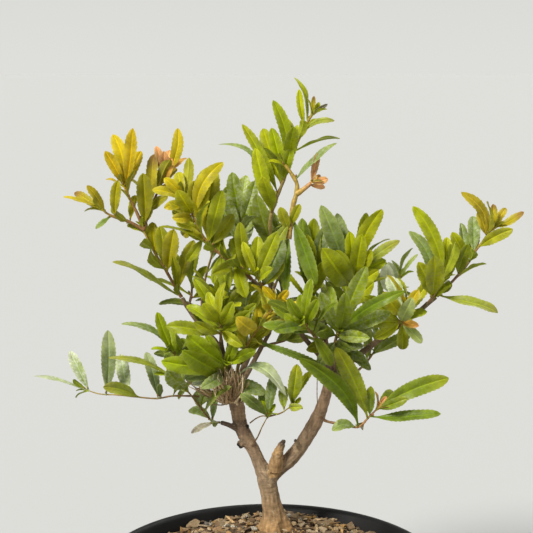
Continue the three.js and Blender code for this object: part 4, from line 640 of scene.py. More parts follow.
# How wide some leaves are beside their usual width, by shoot and number. Most of them turn their edge to
# the eye and are narrower.
SLIM = {
    ("riser_top", 1): 0.6, ("centre_yellow", 6): 0.5, ("riser", 2): 1.3, ("riser_top", 7): 0.75,
    ("riser_top", 5): 0.75, ("riser_top", 0): 0.9, ("riser_top", 2): 0.8, ("riser_top", 8): 0.7,
    ("riser_top", 9): 0.6, ("riser_top", 10): 0.7, ("riser", 5): 0.75, ("left_leader", 0): 1.35,
    ("right_back_out", 0): 0.5, ("right_branch_mid", 1): 0.8, ("low_centre", 1): 0.75,
    ("riser", 10): 0.8, ("right_tip", 7): 1.2, ("right_inner", 3): 0.5, ("right_rosette", 1): 0.85,
}


def odd_look(name, number):
    """The colour, tip colour and painted sheen of a leaf that differs from its shoot, or None."""
    for look, shoots in ODD_LEAVES.items():
        if number in shoots.get(name, ()):
            colour, tip, painted_sheen = ODD_LOOKS[look]
            return shade(colour), shade(tip), painted_sheen
    return None


# The middle of the picture and its focal length in pixels, how far its eye looks down, and where it stands
MIDDLE = PICTURE["pixels"] / 2
FOCAL = MIDDLE / math.tan(math.radians(PICTURE["angle"] / 2))
DIP = math.radians(PICTURE["dip"])
EYE = np.array(PICTURE["eye"], float)


def spot(pixel_x, pixel_y, depth):
    """The place of a traced point."""
    right = (pixel_x - MIDDLE) / FOCAL
    up = (MIDDLE - pixel_y) / FOCAL
    ray = np.array([right, math.cos(DIP) + up * math.sin(DIP), up * math.cos(DIP) - math.sin(DIP)])
    return EYE + ray * (PICTURE["trunk_plane"] + depth - EYE[1]) / ray[1]


def pixels_of(places):
    """The pixels of the picture that show some places."""
    rays = np.asarray(places) - EYE
    ahead = rays[:, 1] * math.cos(DIP) - rays[:, 2] * math.sin(DIP)
    up = rays[:, 1] * math.sin(DIP) + rays[:, 2] * math.cos(DIP)
    return np.stack([MIDDLE + FOCAL * rays[:, 0] / ahead, MIDDLE - FOCAL * up / ahead], 1)


def along_curve(points, share):
    """The places at shares of the way along a smooth curve through a row of points."""
    last = len(points) - 1
    way = np.clip(share, 0, 1) * last
    i = np.minimum(np.floor(way).astype(int), last - 1)
    f = (way - i)[..., None]
    a, b, c, d = (points[np.clip(i + k, 0, last)] for k in (-1, 0, 1, 2))
    return 0.5 * (2 * b + (c - a) * f + (2 * a - 5 * b + 4 * c - d) * f ** 2
                  + (3 * b - a - 3 * c + d) * f ** 3)


def unit(vector):
    """The direction of a vector, or of each row of vectors."""
    return vector / np.linalg.norm(vector, axis=-1, keepdims=True)


def mix(a, b, share):
    """From a at a share of 0 to b at a share of 1."""
    return a + (b - a) * share


def smooth(low, high, value):
    """0 at low and 1 at high, the same beyond them, and a smooth step between them."""
    share = np.clip((value - low) / (high - low), 0, 1)
    return share * share * (3 - 2 * share)


def hump(share):
    """0 at both ends of a way and 1 in its middle."""
    return 4 * share * (1 - share)


def even_shares(steps, start=0):
    """Shares of a way from its start to 1, in equal steps."""
    return mix(start, 1, np.arange(steps + 1) / steps)


def turned(vector, axis, angle):
    """A vector turned about an axis."""
    cos, sin = math.cos(angle), math.sin(angle)
    return vector * cos + np.cross(axis, vector) * sin + axis * axis.dot(vector) * (1 - cos)


class Route:
    """A smooth route through places: its place, radius and direction at a share of its way."""

    # Steps that its length is measured in, rounds that close in on a distance, and half the stretch in
    # which its direction is taken
    STEPS = 60
    ROUNDS = 30
    STRETCH = 0.01

    def __init__(self, places, radii, pixels=None):
        self.places = np.asarray(places, float)
        self.radii = np.asarray(radii, float)[:, None]
        self.pixels = pixels
        self.length = self.distance_to(1)

    def at(self, share):
        return along_curve(self.places, share)

    def radius(self, share):
        return along_curve(self.radii, share)[..., 0]

    def direction(self, share):
        return unit(self.at(share + self.STRETCH) - self.at(share - self.STRETCH))

    def distance_to(self, share):
        stations = self.at(share * even_shares(self.STEPS))
        return np.linalg.norm(np.diff(stations, axis=0), axis=1).sum()

    def share_at(self, distance):
        """The share of the way that lies a distance along it."""
        low, high = 0, 1
        for _ in range(self.ROUNDS):
            middle = (low + high) / 2
            if self.distance_to(middle) < distance:
                low = middle
            else:
                high = middle
        return low

    def nearest(self, pixel, start):
        """The share of the way, past its start, that lies nearest to a pixel of the picture."""
        shares = even_shares(self.STEPS, start)
        gaps = np.linalg.norm(along_curve(self.pixels, shares) - pixel, axis=1)
        return shares[np.argmin(gaps)]


def traced(points, radii=None):
    """The route through traced points, with their own radii unless others are given."""
    if radii is None:
        radii = [point[3] for point in points]
    places = [spot(*point[:3]) for point in points]
    return Route(places, radii, np.array([point[:2] for point in points], float))


class Draw:
    """A repeatable draw of numbers, from the seed of its kind and shoot."""

    FACTOR, LIMIT = 16807, 2147483647

    def __init__(self, kind, order=0):
        first, step = SEEDS[kind]
        self.state = first + step * order

    def share(self):
        """A number from 0 to 1."""
        self.state = self.state * self.FACTOR % self.LIMIT
        return self.state / self.LIMIT

    def spread(self, reach):
        """A number within half the reach of 0."""
        return (self.share() - 0.5) * reach

    def between(self, low, high):
        return low + (high - low) * self.share()

    def one_of(self, things):
        return things[int(self.share() * len(things))]


class Leaf:
    """A leaf from its root on the stem's axis to its tip, with the way that its upper face looks."""

    def __init__(self, root, tip, towards, width, bow, place):
        self.root = root
        self.length = np.linalg.norm(tip - root)
        self.chord = unit(tip - root)
        self.face = unit(towards - self.chord * towards.dot(self.chord))
        self.half_width = LEAF["width"] / 2 * math.sqrt(self.length / LEAF["usual_length"]) * width
        self.bow = bow
        self.place = place
        self.drawn = np.zeros(3)
        self.odd = None

    def tip(self):
        return self.root + self.chord * self.length

    def swung(self, in_plane, out_of_plane, shrink):
        """The same leaf swung about its root, in its own plane and then out of it, and shrunk."""
        other = copy.copy(self)
        chord = turned(self.chord, self.face, math.radians(in_plane))
        side = np.cross(self.face, chord)
        other.face = turned(self.face, side, math.radians(out_of_plane))
        other.chord = turned(chord, side, math.radians(out_of_plane))
        other.length = self.length * shrink
        other.half_width = self.half_width * shrink
        return other


def face_to_eye(chord, roll):
    """The face of a leaf that looks to the eye at no roll, and upward at a roll of a right angle."""
    along = unit(chord)
    front = unit(np.array([0, -1, 0]) + along * along[1])
    upward = np.cross(along, front)
    if upward[2] < 0:
        upward = -upward
    return front * math.cos(math.radians(roll)) + upward * math.sin(math.radians(roll))


WOOD_ROUTES = {name: traced(points) for name, points in WOOD.items()}


def stem_routes(shoot):
    """The routes of a shoot's stems, with the radius of a young stem."""
    thick, thin = STEM["root_radius"], STEM["tip_radius"]
    return [traced(points, mix(thick, thin, even_shares(len(points) - 1))) for points in shoot["stems"]]


def needs_spur(route):
    """Whether a shoot stands on a spur of the wood, and doesn't grow on from the end of a branch."""
    away = [np.linalg.norm(branch.at(1) - route.at(0)) for branch in WOOD_ROUTES.values()]
    return min(away) >= SPUR["match"]


def stem_start(route):
    """The share of its route where a shoot's own stem starts, just past the wood that carries it."""
    return route.share_at(SPUR["length"] + SPUR["gap"] if needs_spur(route) else SPUR["gap"])


def leafy_from(route, stem):
    """The share of a stem's way from which it may carry leaves."""
    return STEM["fork_share"] if stem else stem_start(route) + STEM["bare"] / route.length


def placed_leaves(rows, routes):
    """The leaves that are placed one by one, from their traced rows."""
    leaves = []
    for stem, root_x, root_y, tip_x, tip_y, depth, width, bow, roll in rows:
        share = routes[stem].nearest((root_x, root_y), leafy_from(routes[stem], stem))
        root = routes[stem].at(share)
        tip = spot(tip_x, tip_y, depth)
        leaves.append(Leaf(root, tip, face_to_eye(tip - root, roll), width, bow, (stem, share)))
    return leaves


def spiral_leaves(shoot, routes, draw):
    """The leaves that the spiral rule sets along a shoot's stems."""
    leaves = []
    for stem, route in enumerate(routes):
        count = (shoot["spiral"] + [0] * len(routes))[stem]
        start = leafy_from(route, stem)
        first_turn = 360 * draw.share()
        for i in range(count):
            high = (i + SPIRAL["first_share"]) / count
            turn = first_turn + SPIRAL["turn"] * i + draw.spread(SPIRAL["turn_spread"])
            opened = mix(SPIRAL["open_low"], SPIRAL["open_high"], high) + draw.spread(SPIRAL["open_spread"])
            length = shoot["leaf_length"] * mix(1, SPIRAL["tip_length"], high)
            length *= 1 + draw.spread(SPIRAL["length_spread"])
            width = SPIRAL["width"] + draw.spread(SPIRAL["width_spread"])
            bow = SPIRAL["bow"] + SPIRAL["bow_spread"] * draw.share()
            roll = math.radians(draw.spread(SPIRAL["roll_spread"]))
            share = mix(start, 1, high)
            root = route.at(share)
            along = route.direction(share)
            out = turned(unit(np.cross([0, 0, 1], along)), along, math.radians(turn))
            chord = along * math.cos(math.radians(opened)) + out * math.sin(math.radians(opened))
            chord = unit(chord + np.array([0, 0, SPIRAL["lift"]]))
            face = turned(unit(along - chord * along.dot(chord)), chord, roll)
            leaves.append(Leaf(root, root + chord * length, face, width, bow, (stem, share)))
    return leaves


def searchable(places):
    """A row of places, to be searched for the nearest one."""
    tree = KDTree(len(places))
    for i, place in enumerate(places):
        tree.insert(place, i)
    tree.balance()
    return tree


def as_packed(leaf, corners, reach):
    """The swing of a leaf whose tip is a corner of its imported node, or None."""
    for shrink in SHRINKS:
        for in_plane, out_of_plane in SWINGS:
            other = leaf.swung(in_plane * reach, out_of_plane * reach, shrink)
            if corners.find(other.tip())[2] < TIP_MATCH:
                return other
    return None


def linked(name, data):
    """A new object in the scene."""
    thing = bpy.data.objects.new(name, data)
    bpy.context.scene.collection.objects.link(thing)
    return thing


def baked(name, thing, tools=()):
    """The mesh of an object with its modifiers applied. The object and its tools are removed."""
    depsgraph = bpy.context.evaluated_depsgraph_get()
    mesh = bpy.data.meshes.new_from_object(thing.evaluated_get(depsgraph))
    mesh.name = name
    mesh.materials.clear()
    for spent in (*tools, thing):
        bpy.data.objects.remove(spent)
    return mesh


def write(mesh, name, kind, field, values):
    """Writes one value a corner to a named attribute of a mesh."""
    attribute = mesh.attributes.new(name, kind, "POINT")
    attribute.data.foreach_set(field, np.ascontiguousarray(values, np.float32).ravel())


def read(mesh, field):
    """Three numbers for each corner of a mesh."""
    values = np.empty(len(mesh.vertices) * 3, np.float32)
    mesh.vertices.foreach_get(field, values)
    return values.reshape(-1, 3)


def finish_piece(name, mesh, material, sharp):
    """The finished piece, riding with the part. Its edges over the sharp angle stay crisp."""
    mesh.shade_smooth()
    mesh.set_sharp_from_angle(angle=math.radians(sharp))
    mesh.materials.append(material)
    piece = linked(name, mesh)
    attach(piece, "root")
    return piece


class Skin:
    """The corners, faces and corner attributes of a mesh that is being built, in millimetres."""

    def __init__(self):
        self.corners, self.faces, self.tints, self.places = [], [], [], []
        self.count = 0

    def add(self, corners, faces, tint, place=(0, 0, 0)):
        """Adds a piece. tint and place are one row for all its corners, or a row for each."""
        self.corners.append(np.asarray(corners, float))
        self.faces += [[corner + self.count for corner in face] for face in faces]
        rows = len(corners)
        self.tints.append(np.broadcast_to(np.asarray(tint, float), (rows, 4)))
        self.places.append(np.broadcast_to(np.asarray(place, float), (rows, 3)))
        self.count += rows

    def mesh(self, name):
        """The mesh of all that was added, without its attributes."""
        mesh = bpy.data.meshes.new(name)
        mesh.from_pydata(np.concatenate(self.corners) * MM, [], self.faces)
        return mesh

    def piece(self, name, material, slot, sharp=50):
        """The finished piece of all that was added, with its attributes."""
        mesh = self.mesh(name)
        write(mesh, "tint", "FLOAT_COLOR", "color", np.concatenate(self.tints))
        write(mesh, "place", "FLOAT_VECTOR", "vector", np.concatenate(self.places))
        return finish_piece(name, mesh, material, sharp)


OUTLINE_CURVE = along_curve(LEAF_OUTLINE, np.linspace(0, 1, 120))


def leaf_rows(leaf):
    """Shares of the leaf's length for its rows of corners, how far the edge stands out, and a number.

    The number is how many teeth one side of the leaf has.
    """
    toothed = TEETH["end"] - TEETH["start"]
    count = max(3, round(toothed * leaf.length / TEETH["pitch"]))
    rows = [(-LEAF["sink"] / leaf.length, 0)] + [(share, 0) for share in LEAF_BASE_ROWS]
    for tooth in range(count):
        for part, out in TEETH["rows"]:
            rows.append((TEETH["start"] + (tooth + part) * toothed / count, out))
    rows.append((LEAF_TIP_ROW, 0))
    shares, teeth = np.array(rows).T
    return shares, teeth, count


def leaf_faces(rows, columns):
    """The faces of a closed leaf: two skins that share their rims, an end at the stalk and a tip."""
    under = rows * columns
    tip = under + rows * (columns - 2)

    def top(i, j):
        return i * columns + j

    def bottom(i, j):
        return top(i, j) if j in (0, columns - 1) else under + i * (columns - 2) + j - 1

    faces = []
    for j in range(columns - 1):
        for i in range(rows - 1):
            faces.append((top(i, j), top(i + 1, j), top(i + 1, j + 1), top(i, j + 1)))
            faces.append((bottom(i, j + 1), bottom(i + 1, j + 1), bottom(i + 1, j), bottom(i, j)))
        faces.append((top(rows - 1, j), tip, top(rows - 1, j + 1)))
        faces.append((bottom(rows - 1, j + 1), tip, bottom(rows - 1, j)))
        end = [top(0, j), top(0, j + 1), bottom(0, j + 1), bottom(0, j)]
        faces.append(tuple(dict.fromkeys(end)))
    return faces


def two_skins(top, bottom, tip):
    """The rows of a leaf's corners: its top, its bottom without the rims that they share, and its tip."""
    size = top.shape[-1]
    return np.concatenate([top.reshape(-1, size), bottom[:, 1:-1].reshape(-1, size), tip[None]])


def leaf_corners(leaf, draw, shares, teeth, columns):
    """The corners of a leaf: toothed, folded at its midrib, bowed, a little waved, curled and twisted."""
    s, t = shares[:, None], columns[None, :]
    edge = np.abs(t)
    half = (np.interp(shares, *OUTLINE_CURVE.T) * leaf.half_width)[:, None]
    across = half * t
    full = TEETH["depth"] * min(1, leaf.length / TEETH["full_length"])
    depth = full * teeth * half[:, 0] / leaf.half_width
    across[:, 0] -= depth
    across[:, -1] += depth
    blade = smooth(*BLADE["stalk_end"], s)
    folded = np.radians(draw.between(*BLADE["fold"])) * mix(1, BLADE["tip_fold"], s)
    fold = np.sin(folded) * half * edge * mix(*BLADE["cup"], edge)
    waves = draw.between(*BLADE["waves"])
    phase = draw.between(0, TURN)
    rise = fold + BLADE["wave"] * half * t ** 2 * np.sin(TURN * waves * s + phase + np.sign(t)) * blade
    twist = draw.spread(BLADE["twist"]) * (s - BLADE["twist_from"]) * blade
    cos, sin = np.cos(twist), np.sin(twist)
    across, rise = across * cos - rise * sin, across * sin + rise * cos
    arch = leaf.bow * leaf.length * hump(s.clip(0, 1) ** draw.between(*BLADE["skew"]))
    bend = draw.spread(BLADE["bend"]) * leaf.length * hump(s)
    thick = mix(BLADE["stalk"], BLADE["edge"], blade) / 2 * (1 - edge ** BLADE["square"])
    crown = np.exp(-(t / BLADE["rib_width"]) ** 2)
    top_rise = arch + rise + thick - BLADE["groove"] * crown * blade
    bottom_rise = arch + rise - thick - BLADE["rib"] * crown * (1 - BLADE["rib_taper"] * s)
    side = np.cross(leaf.face, leaf.chord)

    def placed(height):
        return (leaf.root + leaf.chord * (s * leaf.length)[..., None] + side * (across + bend)[..., None]
                + leaf.face * height[..., None] + leaf.drawn * hump(s)[..., None])

    return two_skins(placed(top_rise), placed(bottom_rise), leaf.tip())


def leaf_paint(draw, shares, columns, veins, low, high, painted_sheen, tip):
    """The tint of a leaf's corners with their painted sheen, and where they lie across it and among its
    veins.
    """
    s, t = np.meshgrid(shares, columns, indexing="ij")
    base = mix(low, high, smooth(0, 1, draw.share())) * draw.between(*LEAF_TINT["lightness"])
    tint = base * (1 + LEAF_TINT["stalk"] * smooth(LEAF_TINT["stalk_end"], 0, s[..., None]))
    if tip is not None:
        tint = mix(tint, tip, smooth(*LEAF_TINT["tip"], s[..., None]))
    tint = mix(tint, PALE_EDGE, LEAF_TINT["edge"] * np.abs(t)[..., None] ** BLADE["square"])
    pale = mix(tint, PALE_UNDER, LEAF_TINT["under"])
    painted_sheen_share = painted_sheen * draw.between(*LEAF_TINT["painted_sheen"])
    alpha = np.full((*s.shape, 1), painted_sheen_share)
    upper = np.concatenate([tint, alpha], 2)
    lower = np.concatenate([pale, alpha * LEAF_TINT["under_painted_sheen"]], 2)
    tints = two_skins(upper, lower, np.append(tint[-1, len(columns) // 2], painted_sheen_share))
    # The third number of a place is the leaf's own, the same at all its corners
    chance = draw.share()
    places = np.stack([t, s * veins, np.full(s.shape, chance)], 2)
    return tints, two_skins(places, places, np.array([0, veins, chance]))


def grow_leaf(skin, leaf, draw, low, high, painted_sheen, tip=None):
    """Adds a fine leaf with a colour between low and high, its painted sheen, and a tip colour if it has
    one.
    """
    shares, teeth, count = leaf_rows(leaf)
    columns = LEAF_COLUMNS if leaf.length > SMALL_LEAF else SMALL_LEAF_COLUMNS
    corners = leaf_corners(leaf, draw, shares, teeth, columns)
    tints, places = leaf_paint(draw, shares, columns, count / LEAF_TINT["veined"], low, high, painted_sheen, tip)
    skin.add(corners, leaf_faces(len(shares), len(columns)), tints, places)


def ring(middle, side, other, radii, sides):
    """The corners of a ring about a place, from one side towards the other. radii is one or one each."""
    angles = np.arange(sides) * 2 * math.pi / sides
    out = np.outer(np.cos(angles), side) + np.outer(np.sin(angles), other)
    return middle + out * np.reshape(radii, (-1, 1))


def tube_faces(rings, sides):
    """The faces of a closed tube of rings of corners."""
    faces = [tuple(range(sides))[::-1], tuple(range((rings - 1) * sides, rings * sides))]
    for lower in range(0, (rings - 1) * sides, sides):
        for i in range(sides):
            j = (i + 1) % sides
            faces.append((lower + i, lower + j, lower + sides + j, lower + sides + i))
    return faces


# A tube starts its rings towards x, or towards y where it runs along x by more than this
STEEP = 0.8


def ring_tube(skin, route, shares, radii, sides, tints=(0, 0, 0, 0)):
    """Adds a round tube along a route, closed at both ends. tints is one row, or a row for each share."""
    ahead = route.direction(shares)
    side = np.array([0.0, 1.0, 0.0]) if abs(ahead[0][0]) > STEEP else np.array([1.0, 0.0, 0.0])
    corners = []
    for middle, way, radius in zip(route.at(shares), ahead, radii):
        side = unit(side - way * way.dot(side))
        corners.append(ring(middle, side, np.cross(way, side), radius, sides))
    rows = np.repeat(np.broadcast_to(tints, (len(shares), 4)), sides, axis=0)
    skin.add(np.concatenate(corners), tube_faces(len(shares), sides), rows)


# Bark colours of each stretch of wood, at its start and its end. Where the wood is cut, the end colour
# starts only near the cut. The limbs grow lighter towards their ends partly as painted light, where the
# crown shades them.
BARK = {
    "trunk": ("#a27a48", "#85725a"), "left_limb": ("#857058", "#a5876a"),
    "right_limb": ("#836f57", "#a8896c"), "knob": ("#a08058", "#4a3c2e"),
    "cut_left": ("#8a735a", "#0f0c0a"), "cut_upper": ("#866e58", "#17120f"),
    "cut_right": ("#917b60", "#453a2f"), "low_twig": ("#6e5a48", "#66574a"),
    "left_branch": ("#866e58", "#75604c"), "riser": ("#7a6834", "#86752e"),
}
BRANCH_BARK = ("#75604a", "#6b5a3c")
CUT_ENDS = ("knob", "cut_left", "cut_upper", "cut_right")
CUT_SHARES = (0.62, 0.9)
# The tubes of the wood before they grow together: steps in millimetres, and sides
WOOD_TUBE = {"step": 2.5, "fewest": 4, "sides": 12, "trunk_sides": 40, "spur_steps": 3, "spur_sides": 10}
# How the tubes grow together: the voxel in millimetres, and the rounds of smoothing
UNION = {"voxel": 0.5, "smoothing": 3}
# How fine the bark's relief is, in waves a millimetre. Grain and rings have one number round the wood and
# one along it, and the roots one for each axis. The shift sets the rings apart from the grain.
WAVES = {"grain": (1.1, 0.16), "rings": (0.18, 1.15), "lumps": 0.33, "rough": 0.75}
ROOT_WAVES = np.array([0.42, 0.42, 0.2])
RING_SHIFT = 7
# How far the relief stands out in millimetres, and how much lighter or darker it makes the bark
RELIEF = {"grain": 0.26, "rings": 0.07, "lumps": 0.3, "rough": 0.6, "roots": 0.75}
TONE = {"grain": 0.3, "rings": 0.12, "lumps": 0.25}
# The radius in millimetres from which wood has all its relief, and the largest that its grain is wound on
THICK_WOOD = {"relief": 5, "grain": 4}
# Where the roughest bark begins, and over how much of the way it grows rough
ROUGH_FROM = {"left_limb": 0.35, "knob": 0.3, "cut_left": 0}
ROUGH_REACH = 0.15
# Where the relief of the surface roots ends and where it is full, up the trunk
ROOT_SHARES = (0.5, 0.15)
# The trunk's gentle ribs, which wind as they rise, and its surface roots, thick ones and thin ones: how many
# go round it, their depth as a share of its radius, and a turn in radians
RIBS = {"count": 3, "depth": 0.05, "winding": 7}
ROOTS = {"thick": 4, "thick_depth": 0.13, "turn": 0.6, "thin": 7, "thin_depth": 0.07}


def trunk_ripple(angles, share):
    """The trunk is gently ribbed and flares into its surface roots."""
    flare = max(0, 1 - abs(share - TRUNK["root_share"]) * TRUNK["root_reach"])
    thick = ROOTS["thick_depth"] * np.cos(ROOTS["thick"] * angles + ROOTS["turn"])
    thin = ROOTS["thin_depth"] * np.sin(ROOTS["thin"] * angles)
    ribs = RIBS["depth"] * np.sin(RIBS["count"] * angles + RIBS["winding"] * share)
    return 1 + ribs + flare * (thick + thin)


def add_trunk(skin, route, shares):
    """Adds the trunk, whose section changes shape along it."""
    sides = WOOD_TUBE["trunk_sides"]
    angles = np.arange(sides) * 2 * math.pi / sides
    side = np.array([1.0, 0.0, 0.0])
    corners = []
    for share in shares:
        way = route.direction(share)
        side = unit(side - way * way.dot(side))
        radii = route.radius(share) * trunk_ripple(angles, share)
        corners.append(ring(route.at(share), np.cross(side, way), side, radii, sides))
    skin.add(np.concatenate(corners), tube_faces(len(shares), sides), (0, 0, 0, 0))


def rough_wood():
    """The wood as one skin of closed tubes that overlap where they branch."""
    skin = Skin()
    for name, route in WOOD_ROUTES.items():
        steps = max(WOOD_TUBE["fewest"], round(route.length / WOOD_TUBE["step"]))
        if name == "trunk":
            add_trunk(skin, route, even_shares(steps, TRUNK["foot_share"]))
        else:
            shares = even_shares(steps)
            ring_tube(skin, route, shares, route.radius(shares), WOOD_TUBE["sides"])
    for shoot in SHOOTS.values():
        route = stem_routes(shoot)[0]
        if needs_spur(route):
            shares = route.share_at(SPUR["length"]) * even_shares(WOOD_TUBE["spur_steps"])
            ring_tube(skin, route, shares, route.radius(shares) + SPUR["swell"], WOOD_TUBE["spur_sides"])
    return skin


# Creases in the bark round the knob's root and at the fork, as pixel routes with their depth. The shade in
# them is painted into the bark's colour.
CREASES = [
    [(269, 463, -7), (273, 469, -9), (279, 474, -9), (285, 476, -6)],
    [(272, 459, -8), (277, 466, -10), (284, 470, -8), (289, 469, -5)],
    [(262, 474, -6), (267, 479, -8), (274, 481, -8)],
    [(313, 424, -6), (318, 421, -7), (323, 422, -5)],
]
CREASE_POINTS = np.concatenate([
    along_curve(np.array([spot(*point) for point in points]), even_shares(24)) for points in CREASES
])
# How dark the painted shade of a crease is in its middle, how wide it is in millimetres from its dark middle
# to plain bark, and how little its depth counts
CREASE_SHADE = {"dark": 0.5, "width": (0.25, 1.1), "scale": (1, 0.35, 1)}


def crease_shade(corner):
    """How dark a crease's painted shade makes the bark at a corner, down from 1."""
    away = np.linalg.norm((CREASE_POINTS - corner) * CREASE_SHADE["scale"], axis=1).min()
    return mix(CREASE_SHADE["dark"], 1, smooth(*CREASE_SHADE["width"], away))


def wood_samples():
    """Places along all the wood, each with its branch, share of the way, radius and direction."""
    rows = []
    for name, route in WOOD_ROUTES.items():
        for share in even_shares(max(WOOD_TUBE["fewest"], round(route.length))):
            rows.append((name, share, route.at(share), route.radius(share), route.direction(share)))
    return rows, searchable([row[2] for row in rows])


def wavy(place):
    """Smooth noise at a place, from minus 1 to 1."""
    return noise.noise(Vector(place))


def grown_together(skin):
    """The tubes of a skin, grown together into one mesh."""
    shape = linked("rough_wood", skin.mesh("rough_wood"))
    union = shape.modifiers.new("union", "REMESH")
    union.mode = "VOXEL"
    union.voxel_size = UNION["voxel"] * MM
    soften = shape.modifiers.new("soften", "SMOOTH")
    soften.iterations = UNION["smoothing"]
    return baked("tree_wood", shape)


def build_wood(material):
    """The trunk, limbs and branches as one grown piece, with bark relief."""
    grown = grown_together(rough_wood())
    normals, corners = read(grown, "normal"), read(grown, "co") / MM
    rows, tree = wood_samples()
    tints = np.ones((len(corners), 4))
    for i, (corner, normal) in enumerate(zip(corners.copy(), normals)):
        name, share, middle, radius, way = rows[tree.find(corner)[1]]
        ahead = np.dot(corner - middle, way)
        along = ahead + share * WOOD_ROUTES[name].length
        around = unit(corner - middle - way * ahead) * min(radius, THICK_WOOD["grain"])
        grain = wavy(around * WAVES["grain"][0] + way * along * WAVES["grain"][1])
        rings = wavy(around * WAVES["rings"][0] + way * along * WAVES["rings"][1] + RING_SHIFT)
        lumps = wavy(corner * WAVES["lumps"])
        push = RELIEF["grain"] * grain + RELIEF["rings"] * rings + RELIEF["lumps"] * lumps
        push *= min(1, radius / THICK_WOOD["relief"])
        if name in ROUGH_FROM:
            rough = smooth(ROUGH_FROM[name], ROUGH_FROM[name] + ROUGH_REACH, share)
            push += RELIEF["rough"] * rough * wavy(corner * WAVES["rough"])
        if name == "trunk":
            push += RELIEF["roots"] * smooth(*ROOT_SHARES, share) * wavy(corner * ROOT_WAVES)
        corners[i] = corner + normal * push
        tone = 1 + TONE["rings"] * rings + TONE["grain"] * grain + TONE["lumps"] * lumps
        low, high = (shade(code) for code in BARK.get(name, BRANCH_BARK))
        age = smooth(*(CUT_SHARES if name in CUT_ENDS else (0, 1)), share)
        # The bark is darker along its creases: painted shade.
        tints[i, :3] = mix(low, high, age) * tone * crease_shade(corners[i])
    grown.vertices.foreach_set("co", (corners * MM).astype(np.float32).ravel())
    write(grown, "tint", "FLOAT_COLOR", "color", tints)
    piece = finish_piece("tree_wood", grown, material, 80)
    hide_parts("trunk_and_limbs")


